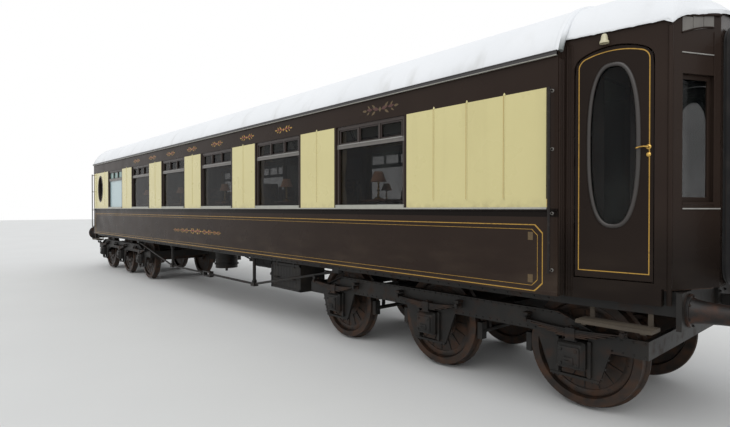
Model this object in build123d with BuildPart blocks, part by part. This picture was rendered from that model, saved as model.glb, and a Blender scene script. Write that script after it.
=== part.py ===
from build123d import *
import os
from math import asin, atan2, cos, hypot, sin

os.makedirs("parts", exist_ok=True)

# Millimetres. X runs along the coach, +X to the near end, Y across it with the left side at -Y,
# and Z up from the tips of the wheel flanges, on which the coach stands.

# Heights
FLANGE_DEPTH = 28
RAIL = FLANGE_DEPTH
WAIST = RAIL + 1880
SIDE_BOTTOM = RAIL + 1100
FLOOR_TOP = RAIL + 1270
FLOOR_THICK = 60
FLOOR_BOTTOM = FLOOR_TOP - FLOOR_THICK
WINDOW_TOP = WAIST + 1089
GUTTER_BOTTOM = WAIST + 1346
EAVE = WAIST + 1400
CROWN = WAIST + 2035
BUFFER_HEIGHT = RAIL + 1050

# Body
HALF_BODY = 7700
HALF_WIDTH = 1310
SIDE_THICK = 70
INSIDE = HALF_WIDTH - SIDE_THICK
FOOT_STRIP_PROUD = 6
WAIST_STRIP = 26
WAIST_STRIP_PROUD = 9
GUTTER_REACH = 26
ROOF_THICK = 45
ROOF_BAND = 12
ROOF_BAND_WIDE = 45
# columns: half width, height at the edge, shoulder radius, height of the crown, crown radius
ROOF = (1300, EAVE, 750, CROWN, 2450)

# Side windows, one to each seating bay
BAY = 2134
FIRST_WINDOW = HALF_BODY - 2500
WINDOWS = [FIRST_WINDOW - BAY * bay for bay in range(6)]
WINDOW_WIDE = 1264
TOPLIGHT = 266
TRANSOM = 57
MULLION = 24
FRAME_WIDE = 42
SILL_HIGH = 46
SILL_PROUD = 14
OVAL_X = -6940
OVAL_WIDE = 500
OVAL_HIGH = 800
OVAL_Z = WAIST + 600
OVAL_FRAME = 34
PANEL = 440
BEAD_WIDE = 12
BEAD_PROUD = 5
BEAD_FOOT = WAIST + 88
GLASS = 8
FRAME_BACK = 1262
FRAME_FACE = 1292

# Vestibule plan, from the end of the body to the flat at the gangway
VESTIBULE_START_Y = 1180
CORNER_X = HALF_BODY + 820
CORNER_Y = 1073
END_X = HALF_BODY + 1045
FLAT_Y = 610
VESTIBULE_THICK = 60
VESTIBULE_BOTTOM = WAIST - 790
END_WALL_BOTTOM = WAIST - 650
TAPER = atan2(VESTIBULE_START_Y - CORNER_Y, CORNER_X - HALF_BODY)
EAVE_REACH = 22
POSTS = (22, 62)
END_WINDOW_ALONG = 284
END_WINDOW_WIDE = 334
END_WINDOW_BOTTOM = WAIST + 30
END_WINDOW_TOP = WAIST + 1086
GANGWAY_HALF = 330
GANGWAY_TOP = WAIST + 1290

# Vestibule doors
DOOR_CENTRE = 396
DOOR_WIDE = 620
DOOR_GAP = 8
DOOR_BOTTOM = FLOOR_TOP + 8
DOOR_SPRING = WAIST + 1290
DOOR_TOP = WAIST + 1383
DOOR_CORNER = 120
DOOR_THICK = 40
DOOR_DEPTH = 16
DOOR_OVAL_WIDE = 365
DOOR_OVAL_HIGH = 1340
DOOR_OVAL_Z = WAIST + 540
RING_WIDE = 35
RING_PROUD = 12
HANDLE_ALONG = 272
HANDLE_Z = WAIST + 505

# Hinges, whose knuckles stand inside the vestibule's walls
HINGE_DEPTH = VESTIBULE_THICK + 12
HINGE_RADIUS = 7
HINGE_LONG = 90
HINGE_GAP = 6
HINGE_HEIGHTS = (FLOOR_TOP + 230, FLOOR_TOP + 1000, FLOOR_TOP + 1720)
HINGE_ALONG = DOOR_CENTRE - DOOR_WIDE / 2 - DOOR_GAP

# Underframe
HEADSTOCK_X = HALF_BODY + 860
HEADSTOCK_THICK = 40
HEADSTOCK_HALF = 1060
HEADSTOCK_BOTTOM = RAIL + 905
SOLEBAR_HIGH = 203
SOLEBAR_TOE = 80
SOLEBAR_WEB = 14
SOLEBAR_FLANGE = 16
SOLEBAR_BOTTOM = FLOOR_BOTTOM - SOLEBAR_HIGH
SOLEBAR_Y = 1080
SOLEBAR_END_Y = 1004
CENTRE_SILL_Y = 320
CENTRE_SILL_WIDE = 70
CENTRE_SILL_HIGH = 150
BOLSTER_HALF = 160
BOLSTER_HIGH = 70
CROSS_BAR_HALF = 40
CROSS_BAR_HIGH = 140
TRUSS_Y = SOLEBAR_Y - SOLEBAR_TOE / 2
TRUSS_RADIUS = 20
TRUSS_END_X = 4270
QUEEN_POST_X = 1900
QUEEN_POST_FOOT = RAIL + 535
QUEEN_POST_RADIUS = 30
BUFFER_Y = 860
BUFFER_FACE = HALF_BODY + 1650
GANGWAY_FACE = HALF_BODY + 1580

# Bogies
BOGIE_X = 5950
AXLE_SPACING = 1753
WHEEL_RADIUS = 533.5
AXLE_Z = RAIL + WHEEL_RADIUS
AXLE_RADIUS = 75
JOURNAL_RADIUS = 62
JOURNAL_END = 1090
WHEEL_BACK = 680
WHEEL_FACE = 812
BOGIE_FRAME_Y = 960
BOGIE_FRAME_THICK = 30
BOGIE_FRAME_TOP = 940
BOGIE_END = 2390
BOGIE_END_TOP = 790
BOGIE_END_HIGH = 160
PIVOT_TOP = 1073
PIVOT_GAP = 5

SIDES = {"left": -1, "right": 1}
ENDS = {"near": 1, "far": -1}
BOGIES = {"a": BOGIE_X, "b": -BOGIE_X}


def save(piece, name):
    """Labels a finished piece and writes it under its name."""
    piece.part.label = name
    export_step(piece.part, f"parts/{name}.step")


def block(x, y, z, mode=Mode.ADD):
    """A block between two limits on each axis, in the part that is being made."""
    low = [min(pair) for pair in (x, y, z)]
    high = [max(pair) for pair in (x, y, z)]
    middle = [(a + b) / 2 for a, b in zip(low, high)]
    with Locations(tuple(middle)):
        Box(*[b - a for a, b in zip(low, high)], mode=mode)


def rod(start, end, radius, mode=Mode.ADD):
    """A round bar from one point to another."""
    run = Vector(*end) - Vector(*start)
    with BuildSketch(Plane(origin=start, z_dir=run)) as section:
        Circle(radius)
    extrude(section.sketch, amount=run.length, mode=mode)


def arch(half, edge, shoulder, crown, radius, inset=0):
    """The right half of a roof's outline, drawn in by the inset: its edge, a point on the shoulder
    arc, the point where that runs tangentially into the crown arc, and the crown."""
    crown_z = crown - radius
    # The shoulder's centre is a shoulder radius from the edge and tangent inside the crown arc.
    reach = radius - shoulder
    rise = edge - crown_z
    span = hypot(half, rise)
    along = (span**2 + reach**2 - shoulder**2) / (2 * span)
    away = (reach**2 - along**2) ** 0.5
    centre_y = (half * along - rise * away) / span
    centre_z = crown_z + (rise * along + half * away) / span
    edge_angle = asin((edge - centre_z) / (shoulder - inset))
    join_angle = atan2(centre_z - crown_z, centre_y)

    def on_shoulder(angle):
        turned = shoulder - inset
        return centre_y + turned * cos(angle), centre_z + turned * sin(angle)

    middle_angle = (edge_angle + join_angle) / 2
    points = [on_shoulder(angle) for angle in (edge_angle, middle_angle, join_angle)]
    return *points, (0, crown - inset)


def arch_face(x, shape, inset=0, foot=None):
    """The face under an arch at one place along the coach, down to its edges or to a foot."""
    edge, shoulder, join, crown = arch(*shape, inset)
    left_edge, left_shoulder, left_join = [(-y, z) for y, z in (edge, shoulder, join)]
    feet = [] if foot is None else [(-edge[0], foot), (edge[0], foot)]
    with BuildSketch(Plane.YZ.offset(x)) as section:
        with BuildLine():
            ThreePointArc(edge, shoulder, join)
            ThreePointArc(join, crown, left_join)
            ThreePointArc(left_join, left_shoulder, left_edge)
            Polyline(left_edge, *feet, edge)
        make_face()
    return section.sketch


def vestibule_plan(end, start_x, z, inset=0):
    """The face of a vestibule's plan, from a start on the body side to the gangway flat."""
    slope = (VESTIBULE_START_Y - CORNER_Y) / (CORNER_X - HALF_BODY)
    start_y = VESTIBULE_START_Y + slope * (HALF_BODY - start_x)
    half = [(start_x, start_y), (CORNER_X, CORNER_Y), (END_X, FLAT_Y)]
    outline = [(end * x, -y) for x, y in half] + [(end * x, y) for x, y in reversed(half)]
    with BuildSketch(Plane.XY.offset(z)) as plan:
        with BuildLine():
            Polyline(*outline, close=True)
        make_face()
        if inset:
            offset(amount=-inset, kind=Kind.INTERSECTION, mode=Mode.REPLACE)
    return plan.sketch


def wall_plane(end, side, along, depth, bevel=False):
    """The plane of a vestibule wall, its y up and its z pointing out, and which way its x runs. The
    place is measured along the wall from its start and inwards from its outer face."""
    if bevel:
        start = Vector(end * CORNER_X, side * CORNER_Y)
        run = Vector(end * (END_X - CORNER_X), side * (FLAT_Y - CORNER_Y)).normalized()
    else:
        start = Vector(end * HALF_BODY, side * VESTIBULE_START_Y)
        run = Vector(end * cos(TAPER), -side * sin(TAPER))
    out = Vector(end * abs(run.Y), side * abs(run.X))
    origin = start + run * along - out * depth
    # A plane's x, y and z are right-handed, so on two of the four walls the x points back.
    across = Vector(0, 0, 1).cross(out)
    return Plane(origin=origin, x_dir=across, z_dir=out), 1 if across.dot(run) > 0 else -1


def door_outline(plane, margin=0):
    """The face of a vestibule door's outline, with a low arch at its head, centred on the door's
    width with heights along the plane's y."""
    half = DOOR_WIDE / 2 + margin
    with BuildSketch(plane) as outline:
        with BuildLine():
            ThreePointArc((-half, DOOR_SPRING), (0, DOOR_TOP + margin), (half, DOOR_SPRING))
            Polyline(
                (half, DOOR_SPRING),
                (half, DOOR_BOTTOM - margin),
                (-half, DOOR_BOTTOM - margin),
                (-half, DOOR_SPRING),
            )
        face = make_face()
        fillet(face.vertices().group_by(Axis.Y)[-1], DOOR_CORNER + margin)
    return outline.sketch


def end_window(end, side, depth):
    """The face of the window in a bevelled end wall, at a depth inside the wall's face."""
    plane, turn = wall_plane(end, side, END_WINDOW_ALONG, depth, bevel=True)
    with BuildSketch(plane) as opening:
        with Locations((0, (END_WINDOW_BOTTOM + END_WINDOW_TOP) / 2)):
            Rectangle(END_WINDOW_WIDE, END_WINDOW_TOP - END_WINDOW_BOTTOM)
    return opening.sketch


# columns: distance from the hinge's axis along the door, depth inside the wall's face
DOOR_STRAP = ((8, 54), (58, 54), (58, 61), (16, 61), (16, 78), (0, 78), (0, 66), (8, 66))
WALL_STRAP = ((-50, 58), (0, 58), (0, 76), (-8, 76), (-8, 65), (-50, 65))


def side_hinge(end, side):
    """Gives the place of a point on a vestibule door's hinges."""

    def place(away, depth):
        plane, turn = wall_plane(end, side, HINGE_ALONG + away, depth)
        return plane.origin.X, plane.origin.Y

    return place


def end_hinge(end):
    """Gives the place of a point on a gangway door's hinges, which are on the right-hand jamb."""

    def place(away, depth):
        return end * (END_X - depth), GANGWAY_HALF - away

    return place


def hinges(place, strap, drop=0):
    """One half of each of a door's hinges, a bent strap with its knuckle."""
    for height in HINGE_HEIGHTS:
        with BuildSketch(Plane.XY.offset(height - drop)) as plan:
            with BuildLine():
                Polyline(*[place(away, depth) for away, depth in strap], close=True)
            make_face()
            with Locations(place(0, HINGE_DEPTH)):
                Circle(HINGE_RADIUS)
        extrude(plan.sketch, amount=HINGE_LONG)


# Underframe: two channel solebars drawn in at their ends, headstocks, centre sills, bolsters and
# cross bars
# columns: distance along the coach, outer face of the solebar
SOLEBAR_LINE = (
    (-HEADSTOCK_X, SOLEBAR_END_Y),
    (-HALF_BODY, SOLEBAR_Y),
    (HALF_BODY, SOLEBAR_Y),
    (HEADSTOCK_X, SOLEBAR_END_Y),
)


def solebar_face(x, side, face):
    """A solebar's channel, open to the middle of the coach, at one place along it."""
    toe, web = face - SOLEBAR_TOE, face - SOLEBAR_WEB
    with BuildSketch(Plane.YZ.offset(x)) as section:
        with BuildLine():
            Polyline(
                (side * face, SOLEBAR_BOTTOM),
                (side * face, FLOOR_BOTTOM),
                (side * toe, FLOOR_BOTTOM),
                (side * toe, FLOOR_BOTTOM - SOLEBAR_FLANGE),
                (side * web, FLOOR_BOTTOM - SOLEBAR_FLANGE),
                (side * web, SOLEBAR_BOTTOM + SOLEBAR_FLANGE),
                (side * toe, SOLEBAR_BOTTOM + SOLEBAR_FLANGE),
                (side * toe, SOLEBAR_BOTTOM),
                close=True,
            )
        make_face()
    return section.sketch


with BuildPart() as underframe:
    for side in SIDES.values():
        loft([solebar_face(x, side, face) for x, face in SOLEBAR_LINE], ruled=True)
        block(
            (-HEADSTOCK_X, HEADSTOCK_X),
            (side * (CENTRE_SILL_Y - CENTRE_SILL_WIDE / 2), side * (CENTRE_SILL_Y + CENTRE_SILL_WIDE / 2)),
            (FLOOR_BOTTOM - CENTRE_SILL_HIGH, FLOOR_BOTTOM),
        )
    web_y = SOLEBAR_Y - SOLEBAR_WEB
    for end in ENDS.values():
        block(
            (end * HEADSTOCK_X, end * (HEADSTOCK_X + HEADSTOCK_THICK)),
            (-HEADSTOCK_HALF, HEADSTOCK_HALF),
            (HEADSTOCK_BOTTOM, FLOOR_BOTTOM),
        )
        # The body bolster is shallow over the middle wheels and deeper at the pivot.
        block(
            (end * (BOGIE_X - BOLSTER_HALF), end * (BOGIE_X + BOLSTER_HALF)),
            (-web_y, web_y),
            (FLOOR_BOTTOM - BOLSTER_HIGH, FLOOR_BOTTOM),
        )
        block(
            (end * (BOGIE_X - BOLSTER_HALF - 40), end * (BOGIE_X + BOLSTER_HALF + 40)),
            (-CENTRE_SILL_Y, CENTRE_SILL_Y),
            (PIVOT_TOP + PIVOT_GAP, FLOOR_BOTTOM),
        )
    for x in (-3300, -QUEEN_POST_X, -600, 600, QUEEN_POST_X, 3300):
        block(
            (x - CROSS_BAR_HALF, x + CROSS_BAR_HALF),
            (-web_y, web_y),
            (FLOOR_BOTTOM - CROSS_BAR_HIGH, FLOOR_BOTTOM),
        )
save(underframe, "underframe")

# Floor: one deck for the saloon and both vestibules
with BuildPart() as floor:
    block((-HALF_BODY, HALF_BODY), (-INSIDE, INSIDE), (FLOOR_BOTTOM, FLOOR_TOP))
    for end in ENDS.values():
        extrude(vestibule_plan(end, HALF_BODY - 100, FLOOR_BOTTOM, VESTIBULE_THICK), amount=FLOOR_THICK)
save(floor, "floor")


def body_side(side):
    """One side of the body: lower panels, waist strip, upper panels with their beads, letterboard
    and gutter, with the windows cut."""
    foot_high = 34
    with BuildPart() as wall:
        with BuildSketch(Plane.YZ.offset(-HALF_BODY)):
            with BuildLine():
                face, back = side * HALF_WIDTH, side * INSIDE
                foot = side * (HALF_WIDTH + FOOT_STRIP_PROUD)
                strip = side * (HALF_WIDTH + WAIST_STRIP_PROUD)
                gutter = side * (HALF_WIDTH + GUTTER_REACH)
                Polyline(
                    (back, SIDE_BOTTOM),
                    (foot, SIDE_BOTTOM),
                    (foot, SIDE_BOTTOM + foot_high),
                    (face, SIDE_BOTTOM + foot_high + FOOT_STRIP_PROUD),
                    (face, WAIST - WAIST_STRIP),
                    (strip, WAIST - WAIST_STRIP + 5),
                    (strip, WAIST - 3),
                    (face, WAIST + 3),
                    (face, GUTTER_BOTTOM),
                    (gutter, GUTTER_BOTTOM + 12),
                    (gutter, EAVE),
                    (back, EAVE),
                    close=True,
                )
            make_face()
        extrude(amount=2 * HALF_BODY)
        # Beads cover the joints of the upper panels.
        joints = [HALF_BODY - 100 - PANEL * panel for panel in range(4)]
        joints += [(a + b) / 2 for a, b in zip(WINDOWS, WINDOWS[1:])]
        joints += [OVAL_X - PANEL, OVAL_X + PANEL]
        for x in joints:
            block(
                (x - BEAD_WIDE / 2, x + BEAD_WIDE / 2),
                (side * (HALF_WIDTH - BEAD_PROUD), side * (HALF_WIDTH + BEAD_PROUD)),
                (BEAD_FOOT, WINDOW_TOP),
            )
        for x in WINDOWS:
            block(
                (x - WINDOW_WIDE / 2, x + WINDOW_WIDE / 2),
                (side * (INSIDE - 50), side * (HALF_WIDTH + 50)),
                (WAIST + 3, WINDOW_TOP),
                Mode.SUBTRACT,
            )
        with BuildSketch(Plane.XZ.offset(-side * (INSIDE - 50))):
            with Locations((OVAL_X, OVAL_Z)):
                Ellipse(OVAL_WIDE / 2, OVAL_HIGH / 2)
        extrude(amount=-side * 200, mode=Mode.SUBTRACT)
    return wall


for name, side in SIDES.items():
    save(body_side(side), f"side_{name}")

# Window frames: a wooden frame with a transom, three toplights and a pale sill in each opening,
# and a ring in each oval
with BuildPart() as window_frames:
    low, high = WAIST + 3, WINDOW_TOP
    transom = high - TOPLIGHT
    clear = WINDOW_WIDE - 2 * FRAME_WIDE
    # columns: foot and head of the main light, then of the toplights
    lights = (
        (low + SILL_HIGH, transom - TRANSOM / 2),
        (transom + TRANSOM / 2, high - FRAME_WIDE),
    )
    for side in SIDES.values():
        back, face = side * FRAME_BACK, side * FRAME_FACE
        for x in WINDOWS:
            with BuildSketch(Plane.XZ.offset(-back)):
                with Locations((x, (low + high) / 2)):
                    Rectangle(WINDOW_WIDE, high - low)
                for foot, head in lights:
                    with Locations((x, (foot + head) / 2)):
                        Rectangle(clear, head - foot, mode=Mode.SUBTRACT)
                with Locations((x - clear / 6, high - TOPLIGHT / 2), (x + clear / 6, high - TOPLIGHT / 2)):
                    Rectangle(MULLION, TOPLIGHT)
            extrude(amount=-side * (FRAME_FACE - FRAME_BACK))
            block(
                (x - WINDOW_WIDE / 2, x + WINDOW_WIDE / 2),
                (face, side * (HALF_WIDTH + SILL_PROUD)),
                (low, low + SILL_HIGH),
            )
        with BuildSketch(Plane.XZ.offset(-back)):
            with Locations((OVAL_X, OVAL_Z)):
                Ellipse(OVAL_WIDE / 2, OVAL_HIGH / 2)
                Ellipse(OVAL_WIDE / 2 - OVAL_FRAME, OVAL_HIGH / 2 - OVAL_FRAME, mode=Mode.SUBTRACT)
        extrude(amount=-side * (HALF_WIDTH + 10 - FRAME_BACK))
save(window_frames, "window_frames")

# Glass behind the frames of both sides and at the back of the windows in the bevelled end walls
with BuildPart() as window_glass:
    for side in SIDES.values():
        for x in WINDOWS:
            block(
                (x - WINDOW_WIDE / 2 + 4, x + WINDOW_WIDE / 2 - 4),
                (side * (FRAME_BACK - GLASS), side * FRAME_BACK),
                (WAIST + 8, WINDOW_TOP - 4),
            )
        with BuildSketch(Plane.XZ.offset(-side * (FRAME_BACK - GLASS))):
            with Locations((OVAL_X, OVAL_Z)):
                Ellipse(OVAL_WIDE / 2 - 6, OVAL_HIGH / 2 - 6)
        extrude(amount=-side * GLASS)
        for end in ENDS.values():
            extrude(end_window(end, side, VESTIBULE_THICK), amount=GLASS)
save(window_glass, "window_glass")

# Roof: a thin arched shell on the sides, with a raised band at each end
with BuildPart() as roof:
    extrude(arch_face(-HALF_BODY, ROOF), amount=2 * HALF_BODY)
    for end in ENDS.values():
        extrude(arch_face(end * HALF_BODY, ROOF, -ROOF_BAND), amount=-end * ROOF_BAND_WIDE)
    extrude(arch_face(-HALF_BODY, ROOF, ROOF_THICK), amount=2 * HALF_BODY, mode=Mode.SUBTRACT)
save(roof, "roof")

# Bulkheads: one at each end of the body and the partitions of the end compartments
DOORWAY = 340
DOORWAY_TOP = FLOOR_TOP + 1950
BULKHEAD = 60
PARTITION = 40
with BuildPart() as bulkheads:
    # columns: distance along the coach, thickness
    for x, thick in (
        (HALF_BODY - BULKHEAD, BULKHEAD),
        (-HALF_BODY, BULKHEAD),
        (6250, PARTITION),
        (-4423, PARTITION),
        (-6260, PARTITION),
    ):
        extrude(arch_face(x, ROOF, ROOF_THICK), amount=thick)
        block((x, x + thick), (-INSIDE, INSIDE), (FLOOR_TOP, EAVE))
        block((x, x + thick), (-DOORWAY, DOORWAY), (FLOOR_TOP, DOORWAY_TOP), Mode.SUBTRACT)
save(bulkheads, "bulkheads")

# The domed roof over a vestibule, by sections along the coach
# columns: distance from the body's end, half width, height at the edge, shoulder radius, height of
# the crown, crown radius
DOME = (
    (0, 1222, EAVE + 77, 560, CROWN - 8, 2450),
    (300, 1183, EAVE + 62, 560, CROWN - 11, 2450),
    (600, 1144, EAVE + 62, 540, CROWN - 38, 2450),
    (820, 1115, EAVE + 92, 540, CROWN - 107, 2500),
    (950, 960, EAVE + 92, 500, CROWN - 211, 1700),
    (1067, 760, EAVE + 172, 500, CROWN - 335, 2600),
    (1130, 700, EAVE + 122, 500, CROWN - 413, 2600),
)
DOME_THICK = 35


def dome(end, drop):
    """The space under a vestibule's roof, lowered by the drop, down to well under the walls."""
    foot = VESTIBULE_BOTTOM - 50
    faces = []
    for along, half, edge, shoulder, crown, radius in DOME:
        shape = (half, edge - drop, shoulder, crown - drop, radius)
        faces.append(arch_face(end * (HALF_BODY + along), shape, foot=foot))
    with BuildPart() as under:
        loft(faces, ruled=True)
    return under


def vestibule_roof(end):
    """The domed end of the roof, a shell that reaches just past the walls."""
    over, under = dome(end, 0), dome(end, DOME_THICK)
    with BuildPart() as shell:
        extrude(vestibule_plan(end, HALF_BODY, GUTTER_BOTTOM, -EAVE_REACH), amount=CROWN - GUTTER_BOTTOM)
        behind = (end * (HALF_BODY - 200), end * HALF_BODY)
        block(behind, (-HALF_WIDTH, HALF_WIDTH), (WAIST, CROWN + 100), Mode.SUBTRACT)
        add(over.part, mode=Mode.INTERSECT)
        add(under.part, mode=Mode.SUBTRACT)
    return shell


def vestibule(end):
    """A vestibule's walls: tapered sides with a doorway each, bevelled end walls with a window
    each, and the flat with the gangway's opening."""
    under = dome(end, DOME_THICK)
    outside, through = -50, -50 - VESTIBULE_THICK - 30
    with BuildPart() as walls:
        tall = CROWN - VESTIBULE_BOTTOM
        extrude(vestibule_plan(end, HALF_BODY, VESTIBULE_BOTTOM), amount=tall)
        inner_plan = vestibule_plan(end, HALF_BODY - 100, VESTIBULE_BOTTOM, VESTIBULE_THICK)
        extrude(inner_plan, amount=tall, mode=Mode.SUBTRACT)
        add(under.part, mode=Mode.INTERSECT)
        # The end walls stop higher than the sides, over the headstock.
        block(
            (end * (CORNER_X - VESTIBULE_THICK), end * (END_X + 50)),
            (-HALF_WIDTH, HALF_WIDTH),
            (0, END_WALL_BOTTOM),
            Mode.SUBTRACT,
        )
        block(
            (end * (CORNER_X - 20), end * (END_X + 50)),
            (-GANGWAY_HALF, GANGWAY_HALF),
            (FLOOR_TOP, GANGWAY_TOP),
            Mode.SUBTRACT,
        )
        for side in SIDES.values():
            plane, turn = wall_plane(end, side, DOOR_CENTRE, outside)
            extrude(door_outline(plane, DOOR_GAP), amount=through, mode=Mode.SUBTRACT)
            extrude(end_window(end, side, outside), amount=through, mode=Mode.SUBTRACT)
            # Post mouldings stand on the wall between the body's corner and the door.
            for along in POSTS:
                plane, turn = wall_plane(end, side, along, 0)
                with BuildSketch(plane):
                    with Locations((0, WAIST + 330)):
                        Rectangle(14, 2200)
                extrude(amount=8)
            hinges(side_hinge(end, side), WALL_STRAP, HINGE_LONG + HINGE_GAP)
        hinges(end_hinge(end), WALL_STRAP, HINGE_LONG + HINGE_GAP)
    return walls


for name, end in ENDS.items():
    save(vestibule_roof(end), f"roof_end_{name}")
    save(vestibule(end), f"vestibule_{name}")


def door_ring(plane, margin):
    """The face of a vestibule door's oval light, widened by the margin."""
    with BuildSketch(plane) as oval:
        with Locations((0, DOOR_OVAL_Z)):
            Ellipse(DOOR_OVAL_WIDE / 2 + margin, DOOR_OVAL_HIGH / 2 + margin)
    return oval.sketch


def side_door(end, side):
    """A vestibule door: an arched leaf with an oval light in a raised ring, its hinges and its
    handles."""
    with BuildPart() as leaf:
        plane, turn = wall_plane(end, side, DOOR_CENTRE, DOOR_DEPTH + DOOR_THICK)
        extrude(door_outline(plane), amount=DOOR_THICK)
        ring_plane = plane.offset(-RING_PROUD)
        ring_thick = DOOR_THICK + 2 * RING_PROUD
        extrude(door_ring(ring_plane, RING_WIDE), amount=ring_thick)
        extrude(door_ring(ring_plane, 0), amount=ring_thick, mode=Mode.SUBTRACT)
        # A lever, its rose and a keyhole plate on each face, near the edge away from the hinges
        rose, lever, keyhole = 16, (108, 16), 18
        for depth, out in ((DOOR_DEPTH + 4, 1), (DOOR_DEPTH + DOOR_THICK - 4, -1)):
            plane, turn = wall_plane(end, side, DOOR_CENTRE, depth)
            with BuildSketch(plane):
                with Locations((turn * HANDLE_ALONG, HANDLE_Z)):
                    Circle(rose)
            extrude(amount=out * 34)
            with BuildSketch(plane.offset(out * 30)):
                with Locations((turn * (HANDLE_ALONG - 40), HANDLE_Z)):
                    Rectangle(*lever)
            extrude(amount=out * 12)
            with BuildSketch(plane):
                with Locations((turn * HANDLE_ALONG, HANDLE_Z - 62)):
                    Circle(keyhole)
            extrude(amount=out * 12)
        hinges(side_hinge(end, side), DOOR_STRAP)
    return leaf


def side_door_glass(end, side):
    """The oval pane of a vestibule door."""
    with BuildPart() as pane:
        plane, turn = wall_plane(end, side, DOOR_CENTRE, DOOR_DEPTH + DOOR_THICK / 2 + GLASS / 2)
        extrude(door_ring(plane, 0), amount=GLASS)
    return pane


for end_name, end in ENDS.items():
    for side_name, side in SIDES.items():
        save(side_door(end, side), f"door_{end_name}_{side_name}")
        save(side_door_glass(end, side), f"door_glass_{end_name}_{side_name}")

# Gangway doors: a leaf with one tall light, hinged on the right-hand jamb
END_DOOR_THICK = 36
END_DOOR_INNER = END_X - VESTIBULE_THICK + 4
END_LIGHT_HALF = 180
END_LIGHT_FOOT = WAIST + 40
END_LIGHT_HEAD = WAIST + 1100


def end_light(end, inner, thick, mode=Mode.ADD):
    """The block of a gangway door's light, from an inner face outwards."""
    block(
        (end * inner, end * (inner + thick)),
        (-END_LIGHT_HALF, END_LIGHT_HALF),
        (END_LIGHT_FOOT, END_LIGHT_HEAD),
        mode,
    )


def end_door(end):
    """The door between a vestibule and its gangway."""
    half = GANGWAY_HALF - DOOR_GAP
    with BuildPart() as leaf:
        block(
            (end * END_DOOR_INNER, end * (END_DOOR_INNER + END_DOOR_THICK)),
            (-half, half),
            (DOOR_BOTTOM, GANGWAY_TOP - DOOR_GAP),
        )
        end_light(end, END_DOOR_INNER - 10, END_DOOR_THICK + 20, Mode.SUBTRACT)
        hinges(end_hinge(end), DOOR_STRAP)
    return leaf


def end_door_glass(end):
    """The light of a gangway door."""
    with BuildPart() as pane:
        end_light(end, END_DOOR_INNER + (END_DOOR_THICK - GLASS) / 2, GLASS)
    return pane


for name, end in ENDS.items():
    save(end_door(end), f"gangway_door_{name}")
    save(end_door_glass(end), f"gangway_door_glass_{name}")

# Gangways: folded walls between the end wall and a faceplate, open through the middle
GANGWAY_OUTER = 550
GANGWAY_HEAD = WAIST + 1530
FOLDS = 9
FOLD_DEEP = 38
FACEPLATE = 45


def gangway(end):
    """One gangway, of frames that are wide and narrow by turns."""
    low, high = END_WALL_BOTTOM, GANGWAY_HEAD
    step = (GANGWAY_FACE - FACEPLATE - END_X) / FOLDS
    with BuildPart() as passage:
        for fold in range(FOLDS + 1):
            faceplate = fold == FOLDS
            inset = FOLD_DEEP if fold % 2 and not faceplate else 0
            with BuildSketch(Plane.YZ.offset(end * (END_X + fold * step))):
                with Locations((0, (low + high) / 2)):
                    RectangleRounded(2 * (GANGWAY_OUTER - inset), high - low - 2 * inset, 150)
                with Locations((0, (FLOOR_TOP + GANGWAY_TOP) / 2)):
                    Rectangle(2 * GANGWAY_HALF, GANGWAY_TOP - FLOOR_TOP, mode=Mode.SUBTRACT)
            extrude(amount=end * (FACEPLATE if faceplate else step))
    return passage


for name, end in ENDS.items():
    save(gangway(end), f"gangway_{name}")

# Buffers: flanged housings, shafts and domed heads
# columns: distance from the headstock's face, radius
BUFFER_PROFILE = (
    (0, 135),
    (24, 135),
    (24, 108),
    (60, 96),
    (330, 76),
    (350, 84),
    (372, 84),
    (372, 50),
    (690, 50),
    (712, 205),
    (738, 222),
)
HEAD_RISE = BUFFER_FACE - HEADSTOCK_X - HEADSTOCK_THICK - BUFFER_PROFILE[-1][0]
HEAD_RADIUS = (BUFFER_PROFILE[-1][1] ** 2 + HEAD_RISE**2) / (2 * HEAD_RISE)
with BuildPart() as buffers:
    half_way = asin(BUFFER_PROFILE[-1][1] / HEAD_RADIUS) / 2
    back = HEAD_RADIUS * (1 - cos(half_way))
    rise = HEAD_RADIUS * sin(half_way)
    for end in ENDS.values():
        face = end * (HEADSTOCK_X + HEADSTOCK_THICK)
        tip = (end * BUFFER_FACE, BUFFER_HEIGHT)
        middle = (end * (BUFFER_FACE - back), BUFFER_HEIGHT + rise)
        points = [(face + end * x, BUFFER_HEIGHT + r) for x, r in BUFFER_PROFILE]
        for side in SIDES.values():
            with BuildSketch(Plane.XZ.offset(-side * BUFFER_Y)):
                with BuildLine():
                    Polyline((face, BUFFER_HEIGHT), *points)
                    ThreePointArc(points[-1], middle, tip)
                    Line(tip, (face, BUFFER_HEIGHT))
                make_face()
            revolve(axis=Axis((0, side * BUFFER_Y, BUFFER_HEIGHT), (1, 0, 0)))
save(buffers, "buffers")

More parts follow.
